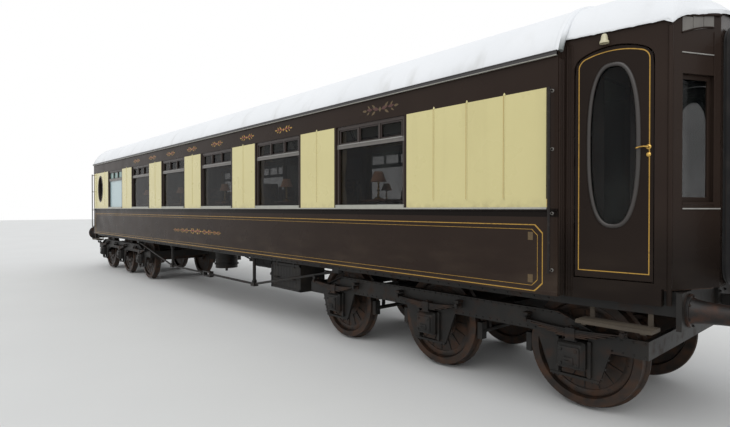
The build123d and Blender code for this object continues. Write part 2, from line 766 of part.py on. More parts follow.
# Drawgear: a hook on each headstock with a screw coupling that hangs from it
# columns: distance from the headstock's face, height over the buffers' centres
HOOK = (
    (0, -45),
    (190, -60),
    (280, -50),
    (310, 10),
    (275, 80),
    (235, 80),
    (240, 20),
    (200, 5),
    (150, 45),
    (0, 45),
)
HOOK_THICK = 52
HOOK_PLATE = (30, 120, 110)
LINK_TOP = (215, 45, -22)
LINK_FOOT = (200, 60, -330)
LINK_RADIUS = 16
with BuildPart() as drawgear:
    plate_thick, plate_half, plate_rise = HOOK_PLATE
    for end in ENDS.values():
        face = end * (HEADSTOCK_X + HEADSTOCK_THICK)
        block(
            (face, face + end * plate_thick),
            (-plate_half, plate_half),
            (BUFFER_HEIGHT - plate_rise, BUFFER_HEIGHT + plate_rise),
        )
        with BuildSketch(Plane.XZ.offset(-HOOK_THICK / 2)):
            with BuildLine():
                Polyline(*[(face + end * x, BUFFER_HEIGHT + z) for x, z in HOOK], close=True)
            make_face()
        extrude(amount=HOOK_THICK)
        top, foot = [
            [Vector(face + end * x, side * y, BUFFER_HEIGHT + z) for side in SIDES.values()]
            for x, y, z in (LINK_TOP, LINK_FOOT)
        ]
        for start, stop in zip(top, foot):
            rod(start, stop, LINK_RADIUS)
        # A pin through the hook and a cross bar at the foot, which carries the screw
        for left, right, radius in ((*top, 18), (*foot, 24)):
            past = (right - left).normalized() * LINK_RADIUS
            rod(left - past, right + past, radius)
save(drawgear, "drawgear")

# Truss rods: one under each solebar, over two queen posts, with a turnbuckle at the middle
ANCHOR_HALF = 35
ANCHOR_HIGH = 50
TURNBUCKLE = (172, 40, 58)
TURNBUCKLE_EYE = (110, 30)
with BuildPart() as truss_rods:
    half_long, half_wide, half_high = TURNBUCKLE
    eye_long, eye_high = TURNBUCKLE_EYE
    high, low = SOLEBAR_BOTTOM - ANCHOR_HIGH / 2, QUEEN_POST_FOOT
    for side in SIDES.values():
        y = side * TRUSS_Y
        block((-half_long, half_long), (y - half_wide, y + half_wide), (low - half_high, low + half_high))
        block((-eye_long, eye_long), (y - 60, y + 60), (low - eye_high, low + eye_high), Mode.SUBTRACT)
        for end in ENDS.values():
            path = ((TRUSS_END_X, high), (QUEEN_POST_X, low), (eye_long - 30, low))
            for (x0, z0), (x1, z1) in zip(path, path[1:]):
                rod((end * x0, y, z0), (end * x1, y, z1), TRUSS_RADIUS)
            x = end * QUEEN_POST_X
            rod((x, y, low - 30), (x, y, SOLEBAR_BOTTOM), QUEEN_POST_RADIUS)
            block((x - 60, x + 60), (y - 45, y + 45), (low - 34, low + 26))
            block(
                (end * (TRUSS_END_X - 90), end * (TRUSS_END_X + 60)),
                (y - ANCHOR_HALF, y + ANCHOR_HALF),
                (SOLEBAR_BOTTOM - ANCHOR_HIGH, SOLEBAR_BOTTOM),
            )
save(truss_rods, "truss_rods")

# Battery boxes: one hung on each side, with a sloping lid
BATTERY_X = (2250, 3150)
BATTERY_Y = (420, 900)
BATTERY_TOP = SOLEBAR_BOTTOM + 60
BATTERY_BOTTOM = RAIL + 520
LID_FALL = 110
LID_REACH = 60
with BuildPart() as battery_boxes:
    for side in SIDES.values():
        # The right-hand box lies toward the other end.
        x0, x1 = sorted(-side * x for x in BATTERY_X)
        inner, outer = (side * y for y in BATTERY_Y)
        with BuildSketch(Plane.YZ.offset(x0)):
            with BuildLine():
                Polyline(
                    (inner, BATTERY_BOTTOM),
                    (outer, BATTERY_BOTTOM),
                    (outer, BATTERY_TOP - LID_FALL),
                    (outer - side * LID_REACH, BATTERY_TOP),
                    (inner, BATTERY_TOP),
                    close=True,
                )
            make_face()
        extrude(amount=x1 - x0)
        # A hanger and a strap near each end
        for x in (x0 + 60, x1 - 60):
            block((x - 20, x + 20), (inner + side * 40, inner + side * 100), (BATTERY_TOP, FLOOR_BOTTOM))
            strap_top = BATTERY_TOP - LID_FALL - 20
            block((x - 12, x + 12), (outer, outer + side * 8), (BATTERY_BOTTOM + 40, strap_top))
save(battery_boxes, "battery_boxes")

# Brake cylinders: two upright drums under the centre sills, and a long reservoir at the side
DRUM_X = 1250
DRUM_RADIUS = 255
DRUM_BOTTOM = RAIL + 480
DRUM_TOP = FLOOR_BOTTOM - CENTRE_SILL_HIGH
DRUM_FLANGE = (280, 24)
RESERVOIR_Y = 560
RESERVOIR_Z = RAIL + 700
RESERVOIR_RADIUS = 190
RESERVOIR_HALF = 700
with BuildPart() as brake_cylinders:
    for x in (-DRUM_X, DRUM_X):
        # columns: foot, height, radius
        for foot, tall, radius in (
            (DRUM_BOTTOM - 80, 80, 30),
            (DRUM_BOTTOM, DRUM_TOP - DRUM_BOTTOM, DRUM_RADIUS),
            (DRUM_BOTTOM + 80, DRUM_FLANGE[1], DRUM_FLANGE[0]),
        ):
            rod((x, 0, foot), (x, 0, foot + tall), radius)
        block((x - 60, x + 60), (-CENTRE_SILL_Y + 35, CENTRE_SILL_Y - 35), (DRUM_TOP, DRUM_TOP + 30))
    rod(
        (-RESERVOIR_HALF, RESERVOIR_Y, RESERVOIR_Z),
        (RESERVOIR_HALF, RESERVOIR_Y, RESERVOIR_Z),
        RESERVOIR_RADIUS,
    )
    for x in (-450, 450):
        block(
            (x - 25, x + 25),
            (RESERVOIR_Y - 25, RESERVOIR_Y + 25),
            (RESERVOIR_Z + RESERVOIR_RADIUS - 30, FLOOR_BOTTOM),
        )
save(brake_cylinders, "brake_cylinders")

# Footsteps: a board under each vestibule door on two iron hangers from the solebar
STEP_Z = RAIL + 872
STEP_THICK = 30
STEP_X = (HALF_BODY + 110, HALF_BODY + 730)
STEP_Y = (1000, 1200)
HANGER_INSET = 70
with BuildPart() as footsteps:
    near_x, far_x = STEP_X
    for end in ENDS.values():
        for side in SIDES.values():
            inner, outer = (side * y for y in STEP_Y)
            block((end * near_x, end * far_x), (inner, outer), (STEP_Z, STEP_Z + STEP_THICK))
            for x in (near_x + HANGER_INSET, far_x - HANGER_INSET):
                wide = (end * (x - 20), end * (x + 20))
                block(wide, (inner, inner + side * 12), (STEP_Z - 12, SOLEBAR_BOTTOM))
                block(wide, (inner, outer - side * 10), (STEP_Z - 12, STEP_Z))
save(footsteps, "footsteps")

# Handrails: one long rail beside each door, on the body's side
RAIL_X = HALF_BODY - 50
RAIL_Y = HALF_WIDTH + 62
RAIL_BRACKETS = (WAIST - 550, WAIST - 42, WAIST + 530, WAIST + 1050)
with BuildPart() as handrails:
    for end in ENDS.values():
        for side in SIDES.values():
            x, y = end * RAIL_X, side * RAIL_Y
            rod((x, y, RAIL_BRACKETS[0] - 25), (x, y, RAIL_BRACKETS[-1] + 25), 13)
            for z in RAIL_BRACKETS:
                rod((x, side * HALF_WIDTH, z), (x, y, z), 9)
save(handrails, "handrails")

# Door lamps: a small bell over each vestibule door
LAMP_ALONG = 340
LAMP_Z = WAIST + 1446
with BuildPart() as door_lamps:
    for end in ENDS.values():
        for side in SIDES.values():
            plane, turn = wall_plane(end, side, LAMP_ALONG, 0)
            foot = plane.origin + Vector(0, 0, LAMP_Z)
            out = plane.z_dir
            with BuildSketch(Plane(origin=foot, z_dir=out)):
                Circle(17)
            extrude(amount=30)
            with BuildSketch(Plane(origin=foot + out * 40 + Vector(0, 0, 38), z_dir=(0, 0, -1))):
                Circle(12)
            extrude(amount=80, taper=-18)
save(door_lamps, "door_lamps")

# Armchairs: an upholstered tub chair with wings, in facing pairs at each table
CHAIR_HALF = 280
CHAIR_GAP = 700
CHAIR_Y = 900
CHAIR_BAYS = WINDOWS[:5]
# columns: distance forward, height, round the side view of a chair that faces +X
CHAIR_PROFILE = (
    (-260, 40),
    (270, 40),
    (300, 420),
    (285, 450),
    (-110, 420),
    (-200, 1080),
    (-260, 1110),
    (-330, 1080),
)
ARM_THICK = 90
WING_THICK = 50
with BuildPart() as armchair:
    with BuildSketch(Plane.XZ.offset(CHAIR_HALF)):
        with BuildLine():
            Polyline(*CHAIR_PROFILE, close=True)
        make_face()
    extrude(amount=-2 * CHAIR_HALF)
    for side in SIDES.values():
        block((-240, 270), (side * (CHAIR_HALF - ARM_THICK), side * CHAIR_HALF), (400, 620))
        block((-270, -120), (side * (CHAIR_HALF - WING_THICK), side * CHAIR_HALF), (600, 1020))
for name, side in SIDES.items():
    with BuildPart() as armchairs:
        for x in CHAIR_BAYS:
            for facing, turn in ((-1, 0), (1, 180)):
                with Locations(Location((x + facing * CHAIR_GAP, side * CHAIR_Y, FLOOR_TOP), (0, 0, turn))):
                    add(armchair.part)
    save(armchairs, f"armchairs_{name}")

# Tables: a top fixed to the side at each window, on one turned leg
TABLE_HIGH = FLOOR_TOP + 700
TABLE_THICK = 30
TABLE_HALF = 230
TABLE_EDGE = 700
LEG_Y = 800
LEG_RADIUS = 28
with BuildPart() as tables:
    for x in CHAIR_BAYS:
        for side in SIDES.values():
            block(
                (x - TABLE_HALF, x + TABLE_HALF),
                (side * TABLE_EDGE, side * (INSIDE - 6)),
                (TABLE_HIGH, TABLE_HIGH + TABLE_THICK),
            )
            rod((x, side * LEG_Y, FLOOR_TOP), (x, side * LEG_Y, TABLE_HIGH), LEG_RADIUS)
save(tables, "tables")

# Table lamps: a turned brass column under a pleated shade
TABLE_LAMP_Y = 1120
with BuildPart() as table_lamps:
    for x in CHAIR_BAYS:
        for side in SIDES.values():
            y, foot = side * TABLE_LAMP_Y, TABLE_HIGH + TABLE_THICK
            rod((x, y, foot), (x, y, foot + 18), 60)
            rod((x, y, foot + 18), (x, y, foot + 230), 14)
            with BuildSketch(Plane(origin=(x, y, foot + 225))):
                Circle(100)
            extrude(amount=130, taper=20)
save(table_lamps, "table_lamps")

# Luggage racks: two brass rails on brackets over each window
RACK_Z = WAIST + 1190
RACK_HALF = 560
RACK_RAIL = 11
with BuildPart() as luggage_rack:
    for y in (INSIDE - 60, INSIDE - 240):
        rod((-RACK_HALF, y, RACK_Z), (RACK_HALF, y, RACK_Z), RACK_RAIL)
    for x in (-500, 500):
        block((x - 8, x + 8), (INSIDE - 250, INSIDE), (RACK_Z - 25, RACK_Z - 8))
        block((x - 8, x + 8), (INSIDE - 14, INSIDE), (RACK_Z - 80, RACK_Z + 50))
with BuildPart() as luggage_racks:
    for x in CHAIR_BAYS:
        for turn in (0, 180):
            with Locations(Location((x, 0, 0), (0, 0, turn))):
                add(luggage_rack.part)
save(luggage_racks, "luggage_racks")

# Curtains: a gathered length at each side of every saloon window
CURTAIN_WIDE = 150
CURTAIN_DEEP = (4, 44)
with BuildPart() as curtains:
    for x in CHAIR_BAYS:
        for side in SIDES.values():
            for edge in (-1, 1):
                start = x + edge * (WINDOW_WIDE / 2 + 40)
                block(
                    (start, start - edge * CURTAIN_WIDE),
                    (side * (INSIDE - CURTAIN_DEEP[1]), side * (INSIDE - CURTAIN_DEEP[0])),
                    (WAIST - 20, WAIST + 1080),
                )
save(curtains, "curtains")

# Bogie frame: six-wheeled, two plate sides joined by cross beams, end beams and a centre bolster
HORN_HALF = 132
PEDESTAL_FOOT = RAIL + 330
ARCH_TOP = 715
# columns: distance from the bogie's centre, height, round one half of a plate side
FRAME_HALF = (
    (1620, BOGIE_FRAME_TOP),
    (1990, BOGIE_END_TOP),
    (BOGIE_END, BOGIE_END_TOP),
    (BOGIE_END, BOGIE_END_TOP - BOGIE_END_HIGH),
    (2080, BOGIE_END_TOP - BOGIE_END_HIGH),
    (1990, PEDESTAL_FOOT),
    (1515, PEDESTAL_FOOT),
    (1380, ARCH_TOP),
    (375, ARCH_TOP),
    (240, PEDESTAL_FOOT),
)
BEAM_X = 876
BEAM_HALF = 105
BEAM_Z = (720, 900)
END_BEAM = 40
CENTRE_HALF = 290
CENTRE_Z = (770, 930)
PIVOT_RADIUS = 210


def frame_outline(centre, y):
    """The face of a bogie side's outline, dropped at each axle and slotted for the axlebox."""
    points = list(FRAME_HALF) + [(-x, z) for x, z in reversed(FRAME_HALF)]
    with BuildSketch(Plane.XZ.offset(-y)) as outline:
        with BuildLine():
            Polyline(*[(centre + x, z) for x, z in points], close=True)
        make_face()
        for axle in (-AXLE_SPACING, 0, AXLE_SPACING):
            with Locations((centre + axle, PEDESTAL_FOOT + 150)):
                Rectangle(2 * HORN_HALF, 400, mode=Mode.SUBTRACT)
    return outline.sketch


def bogie_frame(centre):
    """A bogie's frame with its pivot."""
    across = (-BOGIE_FRAME_Y, BOGIE_FRAME_Y)
    with BuildPart() as frame:
        for side in SIDES.values():
            extrude(frame_outline(centre, side * BOGIE_FRAME_Y), amount=-side * BOGIE_FRAME_THICK)
        for x in (centre - BEAM_X, centre + BEAM_X):
            block((x - BEAM_HALF, x + BEAM_HALF), across, BEAM_Z)
        for x in (centre - BOGIE_END, centre + BOGIE_END - END_BEAM):
            block((x, x + END_BEAM), across, (BOGIE_END_TOP - BOGIE_END_HIGH, BOGIE_END_TOP))
        block((centre - BEAM_X, centre + BEAM_X), (-CENTRE_HALF, CENTRE_HALF), CENTRE_Z)
        rod((centre, 0, CENTRE_Z[1]), (centre, 0, PIVOT_TOP), PIVOT_RADIUS)
    return frame


# Axleboxes with their laminated springs, whose leaves curve up to hangers on the frame
BOX_HALF = 130
SPRING_Z = AXLE_Z + 225
LEAF_THICK = 15
LEAVES = (470, 400, 320, 240, 150)
CAMBER_RADIUS = 3700


def leaf_face(x, y, half, low):
    """The side view of one curved leaf of a spring."""
    rise = half**2 / (2 * CAMBER_RADIUS)
    with BuildSketch(Plane.XZ.offset(-y)) as section:
        with BuildLine():
            for level in (low, low + LEAF_THICK):
                ThreePointArc((x - half, level + rise), (x, level), (x + half, level + rise))
            for tip in (x - half, x + half):
                Line((tip, low + rise), (tip, low + rise + LEAF_THICK))
        make_face()
    return section.sketch


with BuildPart() as axlebox:
    face = BOGIE_FRAME_Y + BOGIE_FRAME_THICK
    inner, outer = face + 10, face + 80
    block(
        (-BOX_HALF, BOX_HALF),
        (BOGIE_FRAME_Y - 20, JOURNAL_END + 42),
        (AXLE_Z - BOX_HALF, AXLE_Z + BOX_HALF),
    )
    rod(
        (0, BOGIE_FRAME_Y - 40, AXLE_Z),
        (0, JOURNAL_END + 6, AXLE_Z),
        JOURNAL_RADIUS + 5,
        Mode.SUBTRACT,
    )
    block((-45, 45), (inner - 8, outer + 8), (AXLE_Z + BOX_HALF, SPRING_Z + LEAF_THICK + 10))
    for leaf, half in enumerate(LEAVES):
        extrude(leaf_face(0, inner, half, SPRING_Z - LEAF_THICK * leaf), amount=inner - outer)
    for hanger in (-LEAVES[0] + 15, LEAVES[0] - 15):
        block((hanger - 18, hanger + 18), (face, outer), (SPRING_Z + 8, SPRING_Z + 60))


def axleboxes(centre):
    """A bogie's axleboxes in their horns, each under its spring."""
    with BuildPart() as boxes:
        for axle in (-AXLE_SPACING, 0, AXLE_SPACING):
            for turn in (0, 180):
                with Locations(Location((centre + axle, 0, 0), (0, 0, turn))):
                    add(axlebox.part)
    return boxes


# Wheelsets
# columns: distance from the middle of the axle, radius
WHEEL_PROFILE = (
    (WHEEL_BACK - 20, AXLE_RADIUS),
    (WHEEL_BACK - 20, 125),
    (WHEEL_BACK + 35, 150),
    (WHEEL_BACK + 50, 440),
    (WHEEL_BACK, 455),
    (WHEEL_BACK, WHEEL_RADIUS + 18),
    (WHEEL_BACK + 12, WHEEL_RADIUS + FLANGE_DEPTH),
    (WHEEL_BACK + 22, WHEEL_RADIUS + FLANGE_DEPTH),
    (WHEEL_BACK + 34, WHEEL_RADIUS),
    (WHEEL_FACE, WHEEL_RADIUS - 4),
    (WHEEL_FACE, 455),
    (WHEEL_BACK + 85, 440),
    (WHEEL_BACK + 75, 150),
    (WHEEL_FACE + 30, 120),
    (WHEEL_FACE + 30, JOURNAL_RADIUS),
    (JOURNAL_END, JOURNAL_RADIUS),
    (JOURNAL_END, 0),
)


def wheelset(x):
    """An axle with its two flanged wheels."""
    right = [(y, AXLE_Z + radius) for y, radius in WHEEL_PROFILE]
    left = [(-y, z) for y, z in reversed(right)]
    with BuildPart() as wheels:
        with BuildSketch(Plane.YZ.offset(x)):
            with BuildLine():
                Polyline(*left, *right, close=True)
            make_face()
        revolve(axis=Axis((x, 0, AXLE_Z), (0, 1, 0)))
    return wheels


# Brake gear
# columns: which way the shoe faces its wheel, which axle, and the face of the beam that carries it
SHOES = (
    (1, -AXLE_SPACING, -BEAM_X - BEAM_HALF),
    (-1, 0, -BEAM_X + BEAM_HALF),
    (1, 0, BEAM_X - BEAM_HALF),
    (-1, AXLE_SPACING, BEAM_X + BEAM_HALF),
)
SHOE_GAP = 8
SHOE_THICK = 60
SHOE_Y = (705, 795)
SHOE_Z = (AXLE_Z - 130, AXLE_Z + 60)
LINK_Y = (600, 640)
LINK_Z = (800, 840)


def brake_gear(centre):
    """A bogie's brake shoes on their cross rods, hung from the cross beams."""
    with BuildPart() as gear:
        for facing, axle, beam in SHOES:
            tread = centre + axle + facing * (WHEEL_RADIUS + SHOE_GAP)
            cross = tread + facing * 40
            for side in SIDES.values():
                shoe_y = [side * y for y in SHOE_Y]
                link_y = [side * y for y in LINK_Y]
                block((tread, tread + facing * SHOE_THICK), shoe_y, SHOE_Z)
                block((tread + facing * 10, centre + beam), link_y, LINK_Z)
                block((cross - 15, cross + 15), link_y, (SHOE_Z[0] + 70, LINK_Z[1]))
            rod((cross, -760, AXLE_Z - 40), (cross, 760, AXLE_Z - 40), 26)
        # The shoes are hollowed to the wheels' treads and cleared for the flanges.
        for axle in (-AXLE_SPACING, 0, AXLE_SPACING):
            x = centre + axle
            rod(
                (x, -WHEEL_FACE - 10, AXLE_Z),
                (x, WHEEL_FACE + 10, AXLE_Z),
                WHEEL_RADIUS + SHOE_GAP,
                Mode.SUBTRACT,
            )
            for side in SIDES.values():
                rod(
                    (x, side * (WHEEL_BACK - 8), AXLE_Z),
                    (x, side * (WHEEL_BACK + 42), AXLE_Z),
                    WHEEL_RADIUS + FLANGE_DEPTH + 6,
                    Mode.SUBTRACT,
                )
    return gear


for name, centre in BOGIES.items():
    save(bogie_frame(centre), f"bogie_frame_{name}")
    save(axleboxes(centre), f"axleboxes_{name}")
    save(brake_gear(centre), f"brake_gear_{name}")
    for number, axle in enumerate((-AXLE_SPACING, 0, AXLE_SPACING), 1):
        save(wheelset(centre + axle), f"wheelset_{name}{number}")
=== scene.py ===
import math
from math import cos, pi, radians, sin

import bpy
import bmesh
from mathutils import Matrix, Vector


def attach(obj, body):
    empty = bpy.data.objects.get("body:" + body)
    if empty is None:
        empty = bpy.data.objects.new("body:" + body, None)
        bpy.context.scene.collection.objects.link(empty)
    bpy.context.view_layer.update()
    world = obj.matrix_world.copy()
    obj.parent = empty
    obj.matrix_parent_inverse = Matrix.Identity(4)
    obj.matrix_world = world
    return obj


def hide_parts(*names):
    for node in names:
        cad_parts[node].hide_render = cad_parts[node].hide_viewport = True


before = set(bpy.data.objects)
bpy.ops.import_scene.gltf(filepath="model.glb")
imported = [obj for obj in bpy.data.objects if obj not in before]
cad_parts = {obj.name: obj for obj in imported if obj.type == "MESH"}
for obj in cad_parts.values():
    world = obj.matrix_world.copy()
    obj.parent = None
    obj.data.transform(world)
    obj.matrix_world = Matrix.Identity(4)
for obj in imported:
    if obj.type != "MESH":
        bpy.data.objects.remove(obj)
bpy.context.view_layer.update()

# Viewpoint
# The photograph was taken at the near end, with the lens level with the waist rail, looking back
# along the left side. The lens comes from the spacing of the windows.
WAIST = 1.908
EYE = (9.85, -5.54, WAIST)
TILT, HEADING = radians(89.44), radians(48.0)
IMAGE_WIDE, LENS_PX, SENSOR_WIDE = 730, 500, 36


def put_in_scene(name, data):
    """A new object in the scene, at the origin."""
    made = bpy.data.objects.new(name, data)
    bpy.context.scene.collection.objects.link(made)
    return made


camera_data = bpy.data.cameras.new("camera")
camera_data.lens = SENSOR_WIDE * LENS_PX / IMAGE_WIDE
camera = put_in_scene("camera", camera_data)
camera.location = EYE
camera.rotation_euler = (TILT, 0, HEADING)
bpy.context.scene.camera = camera
bpy.context.scene.view_settings.view_transform = "Standard"

# Stage
# A plain pale floor under the wheels and a pale sky, which lights the coach softly from all
# round, with one broad soft lamp from above the left side.
FLOOR_HALF = 90


class Tone:
    """A socket in a finish's node tree, on which arithmetic adds Math nodes."""

    def __init__(self, finish, socket):
        self.finish, self.socket = finish, socket

    def math(self, operation, other, swap=False):
        values = {0: other, 1: self} if swap else {0: self, 1: other}
        return self.finish.node("ShaderNodeMath", {"operation": operation}, values)

    def __add__(self, other):
        return self.math("ADD", other)

    def __sub__(self, other):
        return self.math("SUBTRACT", other)

    def __rsub__(self, other):
        return self.math("SUBTRACT", other, swap=True)

    def __mul__(self, other):
        return self.math("MULTIPLY", other)

    def __gt__(self, other):
        return self.math("GREATER_THAN", other)

    def __lt__(self, other):
        return self.math("LESS_THAN", other)

    def __abs__(self):
        return self.math("ABSOLUTE", 0)

    def sine(self):
        return self.math("SINE", 0)

    def ramp(self, low, high):
        """Rises smoothly from 0 to 1 between two values."""
        settings = {"interpolation_type": "SMOOTHSTEP"}
        return self.finish.node("ShaderNodeMapRange", settings, {"Value": self, 1: low, 2: high})


class Finish:
    """A material being mixed, with the coordinates of the piece that it is on."""

    def __init__(self, name, **shader):
        self.material = bpy.data.materials.new(name)
        self.material.use_nodes = True
        self.tree = self.material.node_tree
        self.shader = self.tree.nodes["Principled BSDF"]
        for socket, value in shader.items():
            self.shader.inputs[socket.replace("_", " ")].default_value = value
        self.place = self.node("ShaderNodeTexCoord", out="Object")
        parts = self.node("ShaderNodeSeparateXYZ", {}, {0: self.place}, None)
        self.x, self.y, self.z = (Tone(self, socket) for socket in parts.outputs)

    def node(self, kind, settings=None, values=None, out=0):
        """Adds a node, sets and links it, and gives back one of its outputs, or the node itself."""
        made = self.tree.nodes.new(kind)
        for name, value in (settings or {}).items():
            setattr(made, name, value)
        for key, value in (values or {}).items():
            if isinstance(value, Tone):
                self.tree.links.new(value.socket, made.inputs[key])
            else:
                made.inputs[key].default_value = value
        return made if out is None else Tone(self, made.outputs[out])

    def noise(self, scale, detail=3, stretch=(1, 1, 1)):
        """Soft noise from 0 to 1, drawn out along an axis by a small stretch."""
        sockets = {0: self.place, 1: stretch}
        spot = self.node("ShaderNodeVectorMath", {"operation": "MULTIPLY"}, sockets)
        sockets = {"Vector": spot, "Scale": scale, "Detail": detail}
        return self.node("ShaderNodeTexNoise", {}, sockets)

    def mix(self, factor, first, second):
        """Blends two colours, at the node's colour sockets: inputs 6 and 7, and output 2."""
        first, second = (c if isinstance(c, Tone) else (*c, 1) for c in (first, second))
        sockets = {0: factor, 6: first, 7: second}
        return self.node("ShaderNodeMix", {"data_type": "RGBA"}, sockets, 2)

    def wear(self, **sockets):
        """Links what changes over the surface to the shader's sockets."""
        for name, tone in sockets.items():
            self.tree.links.new(tone.socket, self.shader.inputs[name.replace("_", " ")])
        return self

    def mottle(self, first, second, *noise):
        """Paints the surface in two colours that run into each other by a noise."""
        return self.wear(Base_Color=self.mix(self.noise(*noise), first, second))

    def rough(self, least, spread, *noise):
        """Lets the roughness rise over a least value by a noise."""
        return self.wear(Roughness=self.noise(*noise) * spread + least)

    def bump(self, height, distance):
        """Raises the surface by a height, at most as far as the distance."""
        sockets = {"Height": height, "Distance": distance}
        return self.wear(Normal=self.node("ShaderNodeBump", {}, sockets))


def rgb(*levels):
    """A colour as a screen shows it, 0 to 255, in the shader's linear values."""
    return tuple(((level / 255 + 0.055) / 1.055) ** 2.4 for level in levels)


signs = ((-1, -1), (1, -1), (1, 1), (-1, 1))
floor_corners = [(x * FLOOR_HALF, y * FLOOR_HALF, 0) for x, y in signs]
floor_mesh = bpy.data.meshes.new("stage_floor")
floor_mesh.from_pydata(floor_corners, [], [(0, 1, 2, 3)])
stage_floor = put_in_scene("stage_floor", floor_mesh)
floor_finish = Finish("stage_floor", Roughness=0.9)
floor_finish.mottle(rgb(214, 214, 212), rgb(222, 222, 220), 0.4)
floor_mesh.materials.append(floor_finish.material)

world = bpy.data.worlds.new("sky")
bpy.context.scene.world = world
world.use_nodes = True
sky = world.node_tree
sky_light = sky.nodes["Background"]
sky_light.inputs["Color"].default_value = (0.95, 0.97, 1.0, 1)
sky_light.inputs["Strength"].default_value = 0.8
sky_seen = sky.nodes.new("ShaderNodeBackground")
sky_seen.inputs["Color"].default_value = (1, 1, 1, 1)
rays = sky.nodes.new("ShaderNodeLightPath")
seen = rays.outputs["Is Camera Ray"]
for kind in ("Is Glossy Ray", "Is Transmission Ray"):
    either = sky.nodes.new("ShaderNodeMath")
    either.operation = "MAXIMUM"
    sky.links.new(seen, either.inputs[0])
    sky.links.new(rays.outputs[kind], either.inputs[1])
    seen = either.outputs[0]
sky_mix = sky.nodes.new("ShaderNodeMixShader")
sky.links.new(seen, sky_mix.inputs["Fac"])
sky.links.new(sky_light.outputs[0], sky_mix.inputs[1])
sky.links.new(sky_seen.outputs[0], sky_mix.inputs[2])
sky.links.new(sky_mix.outputs[0], sky.nodes["World Output"].inputs["Surface"])

lamp_data = bpy.data.lights.new("soft_lamp", "SUN")
lamp_data.energy = 1.0
lamp_data.angle = radians(60)
lamp = put_in_scene("soft_lamp", lamp_data)
lamp.rotation_euler = (radians(40), 0, radians(30))

# Body sides
# Timber sides sheeted in steel: umber below the waist and above the windows, with the inside
# faced in veneer. The varnish is a little uneven, and dust lies low on the panels.
HALF_WIDTH, HALF_BODY, INSIDE = 1.31, 7.70, 1.24
LEDGE_SHADOW_HEIGHT = 0.075
DUST_LOW, DUST_HIGH = 1.0, 1.8
UMBER_GLOSS = {"Coat_Weight": 0.02, "Coat_Roughness": 0.1, "Specular_IOR_Level": 0.06}
# A near-black tone for the shade painted on the vestibule walls and doors.
PAINTED_SHADE_TONE = rgb(12, 10, 9)


def dress(finish, *nodes):
    """Gives CAD nodes their finish."""
    for node in nodes:
        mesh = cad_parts[node].data
        mesh.materials.clear()
        mesh.materials.append(finish.material)


def umber_paint(finish):
    """The umber's tone, with road dust towards the bottom edge."""
    tone = finish.mix(finish.noise(1.3, 4), rgb(42, 33, 29), rgb(53, 43, 37))
    low = 1 - finish.z.ramp(DUST_LOW, DUST_HIGH)
    dust = low * finish.noise(5, 5, (0.4, 0.4, 1.6)).ramp(0.35, 0.8) * 0.25
    return finish.mix(dust, tone, rgb(96, 84, 70))


def brushed(finish, scale=2.2):
    """Lets a varnish's gloss wander a little, as the brush leaves it."""
    return finish.wear(Roughness=finish.noise(scale).ramp(0.2, 0.8) * 0.12 + 0.24)


def veneer(finish, stretch=(0.25, 1, 2)):
    """Polished mahogany, its grain drawn out along the board."""
    figure = finish.noise(9, 6, stretch)
    lines = (figure * 60).sine() * 0.5 + 0.5
    return finish.mix(lines * 0.35 + figure * 0.4, rgb(92, 50, 28), rgb(142, 84, 46))


side_paint = Finish("side_paint", **UMBER_GLOSS)
at_end = abs(side_paint.x) > HALF_BODY - 0.001
outside = (abs(side_paint.y) > INSIDE + 0.01).math("MAXIMUM", at_end)
# Painted shade: a band just under the waist ledge is darkened almost to black, for the shadow the
# ledge casts.
ledge_shadow_band = (side_paint.z > WAIST - LEDGE_SHADOW_HEIGHT) * (side_paint.z < WAIST)
outer_tone = side_paint.mix(ledge_shadow_band * 0.8, umber_paint(side_paint), rgb(14, 12, 11))
side_paint.wear(Base_Color=side_paint.mix(outside, veneer(side_paint), outer_tone))
brushed(side_paint).bump(side_paint.noise(1.6, 2), 0.003)
dress(side_paint, "side_left", "side_right")

# Cream panels
# Sheets fixed between the windows and over the blank ends, a little proud of the side, with their
# edges rounded. Between each two sheets stands a half-round bead with a pointed cap.
SIDES = {"left": -1, "right": 1}
BAY = 2.134
WINDOWS = [5.2 - BAY * bay for bay in range(6)]
WINDOW_HALF, BARE_STRIP = 0.632, 0.038
PANEL_FOOT, PANEL_TOP, PANEL_DEPTHS = WAIST + 0.004, WAIST + 1.089, (-0.001, 0.0015)
CREAM_NEAR, CREAM_FAR = 7.60, -7.62
OVAL_X, OVAL_Z, OVAL_WIDE, OVAL_HIGH = -6.94, WAIST + 0.6, 0.25, 0.40
cream = Finish("cream_paint", Coat_Weight=0.2, Coat_Roughness=0.1, Specular_IOR_Level=0.3)
cream_tone = cream.mix(cream.noise(1.1, 4), rgb(205, 194, 138), rgb(216, 206, 150))
rain = cream.noise(6, 5, (1, 1, 0.08)).ramp(0.5, 0.95) * 0.3
cream_tone = cream.mix(rain, cream_tone, rgb(176, 164, 116))
foot_dirt = (1 - cream.z.ramp(WAIST, WAIST + 0.12)) * cream.noise(14, 4).ramp(0.3, 0.8) * 0.35
cream.wear(Base_Color=cream.mix(foot_dirt, cream_tone, rgb(140, 128, 96)))
brushed(cream, 2.5).bump(cream.noise(1.8, 2), 0.004)


def bearings(count, start=0.0):
    """Angles at equal steps round a full turn."""
    return [start + 2 * pi * i / count for i in range(count)]


def spaced(start, stop, steps):
    """Values at equal steps from a start to a stop, with both."""
    return [start + (stop - start) * i / steps for i in range(steps + 1)]


def about(middle, half):
    """The two limits of a piece from its middle and half its width."""
    return middle - half, middle + half


def rectangle(across, up):
    """The corners between two limits each way, from the bottom left round."""
    (left, right), (low, high) = across, up
    return [(left, low), (right, low), (right, high), (left, high)]


def oval(wide, high, middle=(0, 0), count=64, power=1.0):
    """Points round an ellipse of half a width and half a height, fuller where the power is under
    1."""
    points = []
    for a in bearings(count):
        across, up = (math.copysign(abs(level) ** power, level) for level in (cos(a), sin(a)))
        points.append((middle[0] + wide * across, middle[1] + high * up))
    return points


